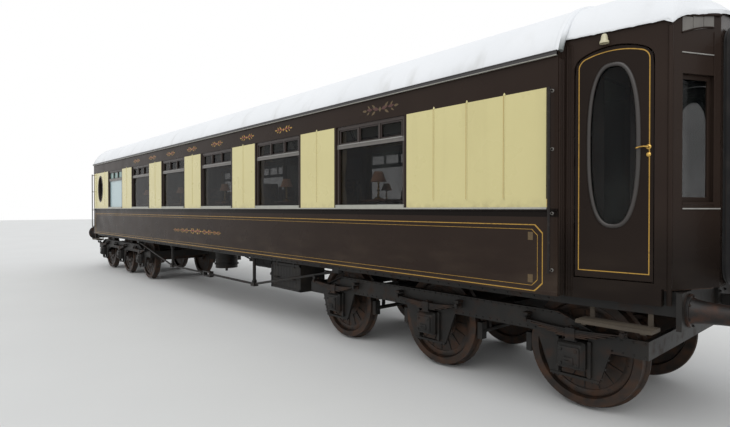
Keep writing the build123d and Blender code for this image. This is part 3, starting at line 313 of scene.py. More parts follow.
def spread(outline, middle, count=64, corners=()):
    """An outline cut again at as many bearings from a middle as an oval there has, and then at
    its corners."""
    points = []
    for a in bearings(count):
        ray_x, ray_y, reaches = cos(a), sin(a), []
        for (x0, y0), (x1, y1) in zip(outline, outline[1:] + outline[:1]):
            run_x, run_y = x1 - x0, y1 - y0
            off_x, off_y = x0 - middle[0], y0 - middle[1]
            cross = ray_x * run_y - ray_y * run_x
            if abs(cross) > 1e-9:
                reach = (off_x * run_y - off_y * run_x) / cross
                share = (off_x * ray_y - off_y * ray_x) / cross
                if reach > 0 and -1e-6 <= share <= 1 + 1e-6:
                    reaches.append(reach)
        points.append((middle[0] + max(reaches) * ray_x, middle[1] + max(reaches) * ray_y))
    for corner in corners:
        nearest = min(range(count), key=lambda i: math.dist(points[i], corner))
        points[nearest] = corner
    return points


def side_place(side):
    """The plane of a body side: x along the coach, y up and z outwards from the side's face."""
    turn = Matrix(((1, 0, 0), (0, 0, side), (0, 1, 0))).to_4x4()
    return Matrix.Translation((0, side * HALF_WIDTH, 0)) @ turn


class Shape:
    """Corners and faces that add up to one piece."""

    def __init__(self):
        self.corners, self.faces = [], []

    def rows(self, rows, loop=False):
        """A closed skin over rings of points: loop joins the last ring to the first, and without
        it both end rings are filled."""
        start, wide, count = len(self.corners), len(rows[0]), len(rows)
        self.corners += [Vector(point) for row in rows for point in row]
        for i in range(count if loop else count - 1):
            a, b = start + i * wide, start + (i + 1) % count * wide
            for j in range(wide):
                k = (j + 1) % wide
                self.faces.append((a + j, a + k, b + k, b + j))
        if not loop:
            self.faces.append(tuple(start + j for j in reversed(range(wide))))
            self.faces.append(tuple(start + (count - 1) * wide + j for j in range(wide)))
        return self

    def drawn(self, section, xs):
        """A section in y and z drawn along x."""
        return self.rows([[(x, y, z) for y, z in section] for x in xs])

    def box(self, x, y, z, place=Matrix()):
        """A square-edged piece between two limits on each axis."""
        return self.plate(rectangle(x, y), z, place)

    def tube(self, path, radius, sides=10):
        """A round bar along a path, with one radius or one for each point."""
        path = [Vector(point) for point in path]
        radii = radius if isinstance(radius, list) else [radius] * len(path)
        rows, across = [], None
        for i, (point, size) in enumerate(zip(path, radii)):
            run = (path[min(i + 1, len(path) - 1)] - path[max(i - 1, 0)]).normalized()
            across = run.orthogonal() if across is None else across - run * across.dot(run)
            across.normalize()
            up = run.cross(across)
            rows.append([point + (across * cos(a) + up * sin(a)) * size for a in bearings(sides)])
        return self.rows(rows)

    def turn(self, profile, place, sides=32):
        """A turned form about a place's z axis, from pairs of height and radius."""
        turns = bearings(sides)
        rows = [[place @ Vector((r * cos(a), r * sin(a), z)) for a in turns] for z, r in profile]
        return self.rows(rows)

    def plate(self, outline, depths, place=Matrix()):
        """A flat outline carried through some depths along a place's z axis."""
        return self.rows([[place @ Vector((a, b, depth)) for a, b in outline] for depth in depths])

    def ring(self, outer, inner, depths, place=Matrix()):
        """A frame between two outlines with as many points each."""
        near, far = depths
        rows = [(outer, near), (outer, far), (inner, far), (inner, near)]
        rows = [[place @ Vector((a, b, depth)) for a, b in line] for line, depth in rows]
        return self.rows(rows, loop=True)

    def mesh(self, name):
        """The shape as a plain mesh."""
        mesh = bpy.data.meshes.new(name)
        mesh.from_pydata([tuple(corner) for corner in self.corners], [], self.faces)
        return mesh

    def make(self, name, finish, body, slot, smooth=35, bevel=0.0):
        """The finished piece, riding on a body, with softened edges where it has a bevel."""
        mesh = self.mesh(name)
        skin = bmesh.new()
        skin.from_mesh(mesh)
        bmesh.ops.recalc_face_normals(skin, faces=skin.faces)
        skin.to_mesh(mesh)
        skin.free()
        made = settle(name, mesh, finish, body, smooth)
        if bevel:
            soften = made.modifiers.new("soften", "BEVEL")
            soften.width = bevel
            soften.segments = 2
            soften.limit_method = "ANGLE"
        return made


def settle(name, mesh, finish, body, smooth=35):
    """Puts a mesh in the scene with its finish, on its body."""
    mesh.shade_smooth()
    mesh.set_sharp_from_angle(angle=radians(smooth))
    mesh.materials.clear()
    mesh.materials.append(finish.material)
    made = put_in_scene(name, mesh)
    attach(made, body)
    return made


sheet_edges = [CREAM_NEAR]
for x in WINDOWS:
    sheet_edges += [x + WINDOW_HALF + BARE_STRIP, x - WINDOW_HALF - BARE_STRIP]
sheet_edges.append(CREAM_FAR)
for name, side in SIDES.items():
    panels = Shape()
    place = side_place(side)
    for start, end in zip(sheet_edges[0::2], sheet_edges[1::2]):
        sheet = rectangle((end, start), (PANEL_FOOT, PANEL_TOP))
        if end == CREAM_FAR:
            # The last sheet has the oval window cut in it.
            middle = (OVAL_X, OVAL_Z)
            hole = oval(OVAL_WIDE + 0.004, OVAL_HIGH + 0.004, middle)
            panels.ring(spread(sheet, middle, corners=sheet), hole, PANEL_DEPTHS, place)
        else:
            panels.plate(sheet, PANEL_DEPTHS, place)
    panels.make(f"cream_panels_{name}", cream, "coach", "cream_paint", bevel=0.0006)


def repeat_group():
    """Geometry nodes that set one piece on every point, turned and sized as the points say."""
    group = bpy.data.node_groups.new("repeat", "GeometryNodeTree")
    sockets = (("Points", "Geometry"), ("Piece", "Object"), ("Finish", "Material"))
    for name, kind in sockets:
        group.interface.new_socket(name, in_out="INPUT", socket_type=f"NodeSocket{kind}")
    group.interface.new_socket("Pieces", in_out="OUTPUT", socket_type="NodeSocketGeometry")
    given = group.nodes.new("NodeGroupInput")
    piece = group.nodes.new("GeometryNodeObjectInfo")
    put = group.nodes.new("GeometryNodeInstanceOnPoints")
    real = group.nodes.new("GeometryNodeRealizeInstances")
    paint = group.nodes.new("GeometryNodeSetMaterial")
    for name, target in (("turn", "Rotation"), ("size", "Scale")):
        stored = group.nodes.new("GeometryNodeInputNamedAttribute")
        stored.data_type = "FLOAT_VECTOR"
        stored.inputs["Name"].default_value = name
        group.links.new(stored.outputs["Attribute"], put.inputs[target])
    links = (
        (given.outputs["Points"], put.inputs["Points"]),
        (given.outputs["Piece"], piece.inputs["Object"]),
        (piece.outputs["Geometry"], put.inputs["Instance"]),
        (put.outputs["Instances"], real.inputs["Geometry"]),
        (real.outputs["Geometry"], paint.inputs["Geometry"]),
        (given.outputs["Finish"], paint.inputs["Material"]),
        (paint.outputs["Geometry"], group.nodes.new("NodeGroupOutput").inputs["Pieces"]),
    )
    for source, target in links:
        group.links.new(source, target)
    return group


REPEAT = repeat_group()
AS_MADE, FULL_SIZE = (0, 0, 0), (1, 1, 1)


def repeat(name, unit, spots, finish, body, smooth=35):
    """Sets a shape on every spot, given as its place, its turn and its size."""
    points = bpy.data.meshes.new(name + "_points")
    points.from_pydata([tuple(place) for place, turn, size in spots], [], [])
    for label, column in (("turn", 1), ("size", 2)):
        stored = points.attributes.new(label, "FLOAT_VECTOR", "POINT")
        stored.data.foreach_set("vector", [level for spot in spots for level in spot[column]])
    unit_piece = put_in_scene(name + "_unit", unit.mesh(name + "_unit"))
    carrier = put_in_scene(name + "_points", points)
    nodes = carrier.modifiers.new("repeat", "NODES")
    nodes.node_group = REPEAT
    named = {item.name: item.identifier for item in REPEAT.interface.items_tree}
    nodes[named["Piece"]] = unit_piece
    nodes[named["Finish"]] = finish.material
    depsgraph = bpy.context.evaluated_depsgraph_get()
    mesh = bpy.data.meshes.new_from_object(carrier.evaluated_get(depsgraph))
    for helper in (carrier, unit_piece):
        bpy.data.objects.remove(helper)
    return settle(name, mesh, finish, body, smooth)


BEAD_FOOT, BEAD_HALF, BEAD_PROUD = WAIST + 0.088, 0.008, 0.0065
BLANK_SHEET = 0.44
LINE_PROUD = 0.0024
joints = [CREAM_NEAR - BLANK_SHEET * count for count in (1, 2, 3)]
joints += [(a + b) / 2 for a, b in zip(WINDOWS, WINDOWS[1:])]
joints += [OVAL_X - BLANK_SHEET, OVAL_X + BLANK_SHEET]
bead, cap = Shape(), Shape()
half_round = [(BEAD_HALF * cos(a), BEAD_PROUD * sin(a)) for a in spaced(0, pi, 8)]
bead.plate(half_round, (0, PANEL_TOP - BEAD_FOOT))
cap.turn([(0, 0.007), (0.004, 0.013), (0.012, 0.013), (0.03, 0.002)], Matrix(), 12)
gilt = Finish("gilt", Metallic=0.25)
worn = gilt.noise(30, 4).ramp(0.45, 0.85)
gilt.wear(Base_Color=gilt.mix(worn * 0.6, rgb(178, 138, 56), rgb(110, 84, 40)))
gilt.wear(Roughness=worn * 0.25 + 0.38)
bead_spots, cap_spots, hairlines = [], [], Shape()
for side in SIDES.values():
    face = side * HALF_WIDTH
    line_depth = (face, face + side * LINE_PROUD)
    for x in joints:
        bead_spots.append(((x, face + side * 0.0002, BEAD_FOOT), AS_MADE, (1, side, 1)))
        cap_spots.append(((x, face + side * 0.002, PANEL_TOP - 0.004), AS_MADE, (1, 0.6, 1)))
        # A gilt line is drawn down the far side of each bead.
        hairlines.box((x - 0.0125, x - 0.008), line_depth, (BEAD_FOOT + 0.01, PANEL_TOP))
    for x in (CREAM_NEAR, CREAM_FAR):
        hairlines.box(about(x, 0.002), line_depth, (WAIST + 0.02, PANEL_TOP))
repeat("panel_beads", bead, bead_spots, cream, "coach")
repeat("bead_caps", cap, cap_spots, cream, "coach")
hairlines.make("panel_hairlines", gilt, "coach", "gilt")

# Waist ledge and gutter
# A pale ledge runs under the windows and the cream sheets. The gutter along the eaves is a dark
# channel with a rolled edge above it, and a thin one below in pale paint, a painted highlight along
# its rounded edge.
EAVE, GUTTER_BOTTOM = WAIST + 1.40, WAIST + 1.346
LEDGE_PROUD, CHANNEL_PROUD = 0.013, 0.0275
LOWER_LIP, UPPER_LIP = (0.006, 0.013, 0.031), (0.042, 0.053, 0.030)
trim = Finish("pale_trim", Roughness=0.5)
trim_tone = trim.mix(trim.noise(9, 5, (0.3, 1, 1)), rgb(150, 148, 140), rgb(176, 175, 166))
chipped = trim.noise(40, 4).ramp(0.55, 0.8) * 0.4
trim.wear(Base_Color=trim.mix(chipped, trim_tone, rgb(104, 98, 88))).bump(trim.noise(60), 0.001)
gutter_paint = Finish("gutter_paint", Coat_Weight=0.2).rough(0.3, 0.2, 12)
gutter_paint.mottle(rgb(34, 31, 31), rgb(50, 47, 47), 7, 4, (0.2, 1, 1))
ledge, highlight_lip, channel = Shape(), Shape(), Shape()
for side in SIDES.values():
    face = side * HALF_WIDTH
    ledge_depth = (face, face + side * LEDGE_PROUD)
    ledge.box((-HALF_BODY + 0.004, CREAM_NEAR), ledge_depth, (WAIST - 0.006, WAIST + 0.012))
    for shape, (low, high, reach) in ((highlight_lip, LOWER_LIP), (channel, UPPER_LIP)):
        edge = ((0, low), (reach, low), (reach + 0.002, (low + high) / 2), (reach, high), (0, high))
        section = [(face + side * out, GUTTER_BOTTOM + up) for out, up in edge]
        shape.drawn(section, (-HALF_BODY, HALF_BODY))
    trough = (GUTTER_BOTTOM + 0.014, GUTTER_BOTTOM + 0.040)
    channel.box((-HALF_BODY, HALF_BODY), (face, face + side * CHANNEL_PROUD), trough)
ledge.make("waist_ledge", trim, "coach", "rail_paint", bevel=0.002)
# Painted highlight: the lower lip is painted in the pale trim colour, for the light along its
# rounded edge.
highlight_lip.make("gutter_lips", trim, "coach", "rail_paint")
channel.make("gutter_channel", gutter_paint, "coach", "umber_paint")

# Lining
# Gilt lines painted round the lower panels, a bold one outside and a fine one inside, with their
# corners cut off, and a small gilt tile in each corner within them.
LINES = (
    # distance in from the body's corner, top and bottom below the waist, cut corner, width
    (0.142, 0.148, 0.754, 0.075, 0.0085),
    (0.191, 0.190, 0.707, 0.055, 0.0040),
)
FOOT_TOP, FOOT_PROUD = 1.162, 0.006
PAINT_BACK, GILT_THICK = -0.0005, 0.0012


def lining_outline(inset, top, bottom, cut, grow):
    """One line's corners round the lower panel, grown outwards: along, up, and out from the side
    where the line crosses the strip at the side's foot."""
    right = HALF_BODY - inset + grow
    high, low = WAIST - top + grow, WAIST - bottom - grow
    quarter = [(right - cut, high, 0), (right, high - cut, 0), (right, low + cut, 0)]
    if low < FOOT_TOP:
        for z, out in ((FOOT_TOP + FOOT_PROUD, 0), (FOOT_TOP, FOOT_PROUD)):
            quarter.append((right - (low + cut - z), z, out))
    quarter.append((right - cut, low, FOOT_PROUD if low < FOOT_TOP else 0))
    return quarter + [(-x, z, out) for x, z, out in reversed(quarter)]


lining = Shape()
for side in SIDES.values():
    place = side_place(side)
    for inset, top, bottom, cut, wide in LINES:
        outer = lining_outline(inset, top, bottom, cut, wide / 2)
        inner = lining_outline(inset, top, bottom, cut, -wide / 2)
        faces = ((outer, PAINT_BACK), (outer, GILT_THICK), (inner, GILT_THICK), (inner, PAINT_BACK))
        rows = []
        for line, rise in faces:
            rows.append([place @ Vector((x, z, out + rise)) for x, z, out in line])
        lining.rows(rows, loop=True)
lining.make("panel_lining", gilt, "coach", "gilt")

TILE_IN, TILE_LOW, TILE_APART, TILE_HALF = 0.262, 0.4485, 0.196, (0.025, 0.037)
faded_gilt = Finish("faded_gilt", Roughness=0.5)
faded_gilt.mottle(rgb(104, 82, 44), rgb(66, 54, 36), 60, 4)
corner_marks = Shape()
for side in SIDES.values():
    for end in (1, -1):
        for up in (1, -1):
            x, z = end * (HALF_BODY - TILE_IN), WAIST - TILE_LOW + up * TILE_APART
            tile = rectangle(about(x, TILE_HALF[0]), about(z, TILE_HALF[1]))
            corner_marks.plate(tile, (PAINT_BACK, 0.001), side_place(side))
corner_marks.make("corner_marks", faded_gilt, "coach", "gilt")

# Ornaments
# Sprays of gilt and red leaves on the board over the windows, faded at the near end, and a long
# one in the middle of the lower panel: plain foliage, painted by hand.
LETTERBOARD, PANEL_MIDDLE = WAIST + 1.215, WAIST - 0.465
RED_THICK, DIAMOND_THICK = 0.0008, 0.0016
SPRAY_STEP, SPRAY_SHIFT = 1.143, -0.155
SPRAY = (
    # distance out from the middle, height, turn in degrees, length of the leaf, and whether red
    (0.015, 0.000, 12, 0.070, True),
    (0.050, 0.012, 40, 0.050, False),
    (0.050, -0.010, -32, 0.050, False),
    (0.085, 0.006, 6, 0.062, True),
    (0.110, 0.016, 48, 0.036, False),
    (0.115, -0.008, -34, 0.036, False),
    (0.145, 0.004, 4, 0.050, False),
)
DIAMOND = ((0.016, 0), (0, 0.02), (-0.016, 0), (0, -0.02))
red_paint = Finish("red_paint", Roughness=0.4)
red_paint.mottle(rgb(142, 62, 34), rgb(108, 44, 26), 40, 4)
faded_red = Finish("faded_red", Roughness=0.5)
faded_red.mottle(rgb(86, 42, 34), rgb(58, 34, 28), 60, 4)


def leaf(length, wide, count=7):
    """The outline of a pointed leaf along x from the origin."""
    edge = [(length * t, wide / 2 * sin(pi * t**0.8)) for t in spaced(0, 1, count)]
    return edge + [(x, -y) for x, y in reversed(edge[1:-1])]


def spray(shapes, place, x, z, size):
    """Adds one symmetrical spray of leaves to a shape of gilt and one of red."""
    for out, up, turn, length, red in SPRAY:
        c, s = cos(radians(turn)) * size, sin(radians(turn)) * size
        depths = (PAINT_BACK, RED_THICK if red else GILT_THICK)
        outline = leaf(length, length * 0.36)
        for flip in (1, -1):
            left, low = x + flip * out * size, z + up * size
            turned = [(left + flip * (c * a - s * b), low + s * a + c * b) for a, b in outline]
            shapes[red].plate(turned, depths, place)
    diamond = [(x + a * size, z + b * size) for a, b in DIAMOND]
    shapes[False].plate(diamond, (PAINT_BACK, DIAMOND_THICK), place)


sprays, faded = {True: Shape(), False: Shape()}, {True: Shape(), False: Shape()}
for side in SIDES.values():
    place = side_place(side)
    spray(faded, place, WINDOWS[0] + 0.225, LETTERBOARD, 1.65)
    for i in range(-3, 4):
        spray(sprays, place, i * SPRAY_STEP + SPRAY_SHIFT, LETTERBOARD, 1.25)
    for x, size in ((0, 1.5), (0.54, 1.2), (-0.54, 1.2), (0.96, 0.9), (-0.96, 0.9)):
        spray(sprays, place, x, PANEL_MIDDLE, size)
sprays[False].make("gilt_sprays", gilt, "coach", "gilt")
sprays[True].make("red_sprays", red_paint, "coach", "gilt")
faded[False].make("faded_gilt_sprays", faded_gilt, "coach", "gilt")
faded[True].make("faded_red_sprays", faded_red, "coach", "gilt")

# Window frames
# Dark varnished frames with grey-painted transoms over the large panes, three hopper lights above,
# and pale sills. Each hopper has a slim frame of its own, and each transom a painted highlight
# along its top edge.
TRANSOM_Z, TRANSOM_HALF = PANEL_TOP - 0.266, 0.0285
SILL_TOP, SALOON_FAR = WAIST + 0.0495, -6.2
TOPLIGHT_LOW, TOPLIGHT_HIGH = TRANSOM_Z + TRANSOM_HALF, PANEL_TOP - 0.042
FRAME_FACE_Y, HOPPER_BAR = 1.292, 0.016
frame_paint = Finish("frame_paint", Coat_Weight=0.1, Specular_IOR_Level=0.3).rough(0.3, 0.2, 9)
frame_tone = frame_paint.mix(frame_paint.noise(6, 5, (1, 1, 0.3)), rgb(44, 36, 33), rgb(62, 52, 47))
sill = frame_paint.z < SILL_TOP
bar = (frame_paint.z > TRANSOM_Z - TRANSOM_HALF) * (frame_paint.z < TRANSOM_Z + TRANSOM_HALF)
saloon = frame_paint.x > SALOON_FAR
bar_tone = frame_paint.mix(frame_paint.noise(20), rgb(92, 88, 84), rgb(116, 112, 107))
frame_tone = frame_paint.mix(bar * saloon, frame_tone, bar_tone)
sill_tone = frame_paint.mix(frame_paint.noise(14, 4), rgb(148, 148, 138), rgb(172, 171, 160))
frame_paint.wear(Base_Color=frame_paint.mix(sill * saloon, frame_tone, sill_tone))
dress(frame_paint, "window_frames")

edge_grey = Finish("edge_grey", Roughness=0.45)
edge_grey.mottle(rgb(132, 130, 125), rgb(166, 164, 158), 12, 4)
transom_highlights, hoppers = Shape(), Shape()
third = (2 * WINDOW_HALF - 0.084) / 3
for side in SIDES.values():
    for x in WINDOWS:
        face, top = side * FRAME_FACE_Y, TOPLIGHT_LOW - 0.0005
        transom_highlights.box(about(x, 0.59), (face, face + side * 0.007), (top - 0.012, top))
        for pane in (-1, 0, 1):
            middle, half = x + pane * third, third / 2 - 0.013
            low, high = TOPLIGHT_LOW + 0.002, TOPLIGHT_HIGH - 0.002
            outer, inner = [
                rectangle(about(middle, half - inset), (low + inset, high - inset))
                for inset in (0, HOPPER_BAR)
            ]
            hoppers.ring(outer, inner, (-0.044, -0.026), side_place(side))
# Painted highlight: a strip of paler grey along each transom's top edge, where the light catches
# it.
transom_highlights.make("transom_edges", edge_grey, "coach", "window_wood", bevel=0.002)
hoppers.make("hopper_frames", frame_paint, "coach", "window_wood", bevel=0.0015)

# Glass
# Clear panes, slightly tinted and dusty, held by beads in their frames. The lavatory's pane is
# frosted, with greener glass in the lights above it.
glass = Finish("clear_glass", Roughness=0.02, Specular_IOR_Level=0.14)
smear = glass.noise(5, 4, (1, 1, 0.4)).ramp(0.4, 0.9)
glass.wear(Base_Color=glass.mix(smear, rgb(12, 14, 15), rgb(40, 42, 40)), Alpha=smear * 0.08 + 0.5)
dress(glass, *[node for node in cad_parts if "glass" in node])
frosted = Finish("frosted_glass", Roughness=0.35, Coat_Weight=0.5)
frost = frosted.mix(frosted.noise(30, 4), rgb(150, 176, 180), rgb(176, 198, 200))
toplight = frosted.z.ramp(PANEL_TOP - 0.28, PANEL_TOP - 0.2)
frosted.wear(Base_Color=frosted.mix(toplight, frost, rgb(96, 134, 128)))
frosted.bump(frosted.noise(180, 3), 0.0008)
frost_pane = Shape()
for side in SIDES.values():
    depth = (side * 1.2625, side * 1.2665)
    frost_pane.box(about(WINDOWS[5], 0.6), depth, (WAIST + 0.03, PANEL_TOP - 0.02))
frost_pane.make("frosted_panes", frosted, "coach", "clear_glass")

# Roof
# White-painted canvas over boards, carried down to the gutters in one sheet and lapped at cross
# seams, with a raised moulding at each end of the body.
ENDS = {"near": 1, "far": -1}
CROWN = WAIST + 2.035
ROOF_ARCH = (1.30, EAVE, 0.75, CROWN, 2.45)
ROOF_THICK, SEAM_STEP = 0.045, 1.925
SEAM_PROFILE = [(-0.035, -0.0005), (-0.0245, 0.0022), (0.0245, 0.0022), (0.035, -0.0005)]
BAND_PROFILE = [(-0.0225, -0.003), (-0.0225, 0.006), (-0.012, 0.0115)]
BAND_PROFILE += [(-along, rise) for along, rise in reversed(BAND_PROFILE)]
canvas = Finish("roof_canvas").rough(0.6, 0.2, 20)
canvas_tone = canvas.mix(canvas.noise(0.9, 5), rgb(226, 228, 230), rgb(240, 241, 242))
near_eave = 1 - canvas.z.ramp(EAVE, EAVE + 0.5)
grime = canvas.noise(4, 6, (1, 0.25, 0.5)).ramp(0.5, 0.9) * near_eave * 0.5
grime = grime + canvas.noise(2, 5).ramp(0.55, 0.95) * 0.12
canvas.wear(Base_Color=canvas.mix(grime, canvas_tone, rgb(168, 166, 158)))
canvas.bump(canvas.noise(3, 3) + canvas.noise(220, 2) * 0.06, 0.006)


def arch_centres(half, edge, shoulder, crown, radius):
    """Where the centre of an arch's shoulder is, and the height of its crown's centre."""
    crown_z = crown - radius
    reach, rise = radius - shoulder, edge - crown_z
    span = math.hypot(half, rise)
    along = (span**2 + reach**2 - shoulder**2) / (2 * span)
    away = math.sqrt(reach**2 - along**2)
    middle_y = (half * along - rise * away) / span
    middle_z = crown_z + (rise * along + half * away) / span
    return middle_y, middle_z, crown_z


def arch_points(arch, lift=0.0, count=16):
    """Half an arch from its edge to its crown, as pairs of y and height: two arcs, for the
    shoulder and the crown."""
    half, edge, shoulder, crown, radius = arch
    middle_y, middle_z, crown_z = arch_centres(*arch)
    low, join = math.asin((edge - middle_z) / shoulder), math.atan2(middle_z - crown_z, middle_y)
    points = []
    for a in spaced(low, join, count)[:-1]:
        reach = shoulder + lift
        points.append((middle_y + reach * cos(a), middle_z + reach * sin(a)))
    for a in spaced(join, pi / 2, count):
        reach = radius + lift
        points.append((reach * cos(a), crown_z + reach * sin(a)))
    return points


def roof_curve(lift=0.0):
    """The roof's outline from the right eave over the crown to the left eave."""
    points = arch_points(ROOF_ARCH, lift)
    return points + [(-y, z) for y, z in reversed(points[:-1])]


def roof_shell(lift, thick):
    """A section between the roof's outline, lifted, and one below it."""
    return roof_curve(lift) + list(reversed(roof_curve(lift - thick)))


def roof_strip(shape, x, profile):
    """A strip laid over the roof across the coach, from pairs of place along it and height."""
    lines = [[(x + along, y, z) for y, z in roof_curve(rise)] for along, rise in profile]
    shape.rows(list(zip(*lines)))


roof, seams, bands = Shape(), Shape(), Shape()
roof.drawn(roof_shell(0, ROOF_THICK), spaced(-HALF_BODY, HALF_BODY, 20))
roof_skin = roof.make("roof_skin", canvas, "coach", "white_roof", smooth=40)
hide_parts("roof")
for count in range(1, 8):
    roof_strip(seams, HALF_BODY - SEAM_STEP * count, SEAM_PROFILE)
seams.make("roof_seams", canvas, "coach", "white_roof", smooth=60)
for end in ENDS.values():
    roof_strip(bands, end * (HALF_BODY - 0.0225), BAND_PROFILE)
bands.make("roof_bands", canvas, "coach", "white_roof", smooth=60)

# Domed roof ends
# The same canvas drawn down over each vestibule in a shallow dome, tacked under the eave, where
# its cut edge hangs a little unevenly.
DOME = (
    # distance from the body's end, half width, height at the edge, shoulder radius, height of the
    # crown, crown radius
    (0.0, 1.222, EAVE + 0.077, 0.56, CROWN - 0.008, 2.45),
    (0.3, 1.183, EAVE + 0.062, 0.56, CROWN - 0.011, 2.45),
    (0.6, 1.144, EAVE + 0.062, 0.54, CROWN - 0.038, 2.45),
    (0.82, 1.115, EAVE + 0.092, 0.54, CROWN - 0.107, 2.5),
    (0.95, 0.96, EAVE + 0.092, 0.5, CROWN - 0.211, 1.7),
    (1.067, 0.76, EAVE + 0.172, 0.5, CROWN - 0.335, 2.6),
    (1.13, 0.7, EAVE + 0.122, 0.5, CROWN - 0.413, 2.6),
)
START_Y, CORNER_X, CORNER_Y, END_X, FLAT_Y = 1.18, 8.52, 1.073, 8.745, 0.61
TAPER = math.atan2(START_Y - CORNER_Y, CORNER_X - HALF_BODY)
WALL_LONG = math.hypot(CORNER_X - HALF_BODY, START_Y - CORNER_Y)
BEVEL_LONG = math.hypot(END_X - CORNER_X, CORNER_Y - FLAT_Y)
EAVE_REACH, CANVAS_THICK = 0.022, 0.033
GROWN_CORNER = CORNER_X + 0.0146
ARCHES = [(row[0], arch_points(row[1:])) for row in DOME]


def dome_height(along, y):
    """The roof's height over a vestibule, on straight lines from arch to arch."""
    nearest = max(i for i in range(len(ARCHES) - 1) if ARCHES[i][0] <= along or i == 0)
    (start, first), (stop, second) = ARCHES[nearest : nearest + 2]
    t = (along - start) / (stop - start)
    line = [(a[0] + (b[0] - a[0]) * t, a[1] + (b[1] - a[1]) * t) for a, b in zip(first, second)]
    for (y0, z0), (y1, z1) in zip(line, line[1:]):
        if y1 <= abs(y):
            return z0 + (z1 - z0) * (y0 - abs(y)) / (y0 - y1)
    return line[-1][1]


def plan_half(x, reach=0.0):
    """Half the vestibule's width at a distance along the coach, walls grown by the reach."""
    slope = math.tan(TAPER)
    wall = START_Y - (x - HALF_BODY) * slope + reach / cos(TAPER)
    bevel_slope = (CORNER_Y - FLAT_Y) / (END_X - CORNER_X)
    bevel = CORNER_Y - (x - CORNER_X) * bevel_slope + reach * math.hypot(1, bevel_slope)
    return min(wall, bevel)


def eave_stations(inset, wall_steps, bevel_steps):
    """Places along a vestibule's eave, down the side wall and then down the bevelled one."""
    start, stop = HALF_BODY + inset, END_X + EAVE_REACH - inset
    return spaced(start, GROWN_CORNER, wall_steps) + spaced(GROWN_CORNER, stop, bevel_steps)[1:]


for name, end in ENDS.items():
    dome, rows = Shape(), []
    for x in eave_stations(0.001, 14, 12):
        half = plan_half(x, EAVE_REACH)
        over = [(end * x, y, dome_height(x - HALF_BODY, y)) for y in spaced(-half, half, 32)]
        rows.append(over + [(a, b, c - CANVAS_THICK) for a, b, c in reversed(over)])
    dome.rows(rows)
    skin = dome.make(f"dome_{name}", canvas, "coach", "white_roof", smooth=50)
    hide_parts(f"roof_end_{name}")

hem = Shape()
for end in ENDS.values():
    for side in SIDES.values():
        rows = []
        for i, x in enumerate(eave_stations(0.002, 30, 18)):
            half = plan_half(x, EAVE_REACH)
            z = dome_height(x - HALF_BODY, half)
            hang = CANVAS_THICK + 0.0022 * sin(i * 2.3) + 0.002 * sin(i * 5.1)
            # Down the outside of the canvas, round its cut edge and up inside it
            line = [(half * 0.998, -0.0015), (half + 0.003, 0.008), (half + 0.0035, hang - 0.006)]
            line += [(half + 0.001, hang), (half - 0.0015, hang - 0.0005), (half - 0.0015, 0.006)]
            rows.append([(end * x, side * y, z - drop) for y, drop in line])
        hem.rows(rows)
hem.make("canvas_hems", canvas, "coach", "white_roof", smooth=60)

# Eave mouldings
# A rounded moulding covers the joint of the two canvases, white on top and weathered to grey
# where it ends over the gutter.
cover_paint = Finish("joint_cover", Roughness=0.6)
cover_grime = 1 - (cover_paint.z + cover_paint.noise(9) * 0.08).ramp(EAVE + 0.05, EAVE + 0.24)
cover_paint.wear(Base_Color=cover_paint.mix(cover_grime, rgb(232, 234, 236), rgb(118, 122, 120)))
joint_cover = Shape()
for end in ENDS.values():
    cover = [(end * (HALF_BODY + 0.012), y, z) for y, z in roof_curve(-0.012)]
    joint_cover.tube(cover, 0.024, 10)
joint_cover.make("roof_joint_covers", cover_paint, "coach", "white_roof", smooth=60)

# Vestibules
# Framed ends sheeted in steel, in the same umber, with half-round posts and mouldings screwed on,
# three reeds down each side's end, and a frieze of grey boards over each end window.
POST_FOOT, POST_HEAD, REED_HEAD = 1.13, WAIST + 1.455, WAIST + 1.33
POSTS = (
    # place along the wall, radius, distance out: one at the corner and two beside the doorway
    (WALL_LONG - 0.006, 0.020, -0.008),
    (0.062, 0.008, 0.004),
    (0.022, 0.008, 0.004),
)
REEDS, REED_RADIUS = (1.212, 1.245, 1.278), 0.011
WINDOW_ALONG, WINDOW_REACH, WINDOW_LOW, WINDOW_HIGH = 0.284, 0.167, WAIST + 0.053, WAIST + 1.085
FRIEZE_START, FRIEZE_STOP, FRIEZE_LOW, FRIEZE_RISE = 0.105, 0.435, WAIST + 1.412, 0.069
end_paint = Finish("end_paint", **UMBER_GLOSS)
# Painted shade: the end walls are darkened towards their foot, up to three fifths of the way to the
# near-black shade tone.
low_painted_shade = (1 - end_paint.z.ramp(WAIST - 0.5, WAIST + 0.1)) * 0.6
end_paint.wear(Base_Color=end_paint.mix(low_painted_shade, umber_paint(end_paint), PAINTED_SHADE_TONE))
brushed(end_paint).bump(end_paint.noise(1.6, 2), 0.003)
dress(end_paint, "vestibule_near", "vestibule_far")
frieze_grey = Finish("frieze_grey", Roughness=0.5)
frieze_grey.mottle(rgb(88, 84, 80), rgb(120, 116, 110), 8, 4)


def wall_place(end, side, along, depth=0.0, bevel=False):
    """The plane of a vestibule wall: x along it away from the body, y up, z outwards."""
    if bevel:
        start = Vector((end * CORNER_X, side * CORNER_Y, 0))
        run = Vector((end * (END_X - CORNER_X), side * (FLAT_Y - CORNER_Y), 0)).normalized()
    else:
        start = Vector((end * HALF_BODY, side * START_Y, 0))
        run = Vector((end * cos(TAPER), -side * sin(TAPER), 0))
    out = Vector((end * abs(run.y), side * abs(run.x), 0))
    columns = Matrix((run, Vector((0, 0, 1)), out)).transposed().to_4x4()
    return Matrix.Translation(start + run * along - out * depth) @ columns


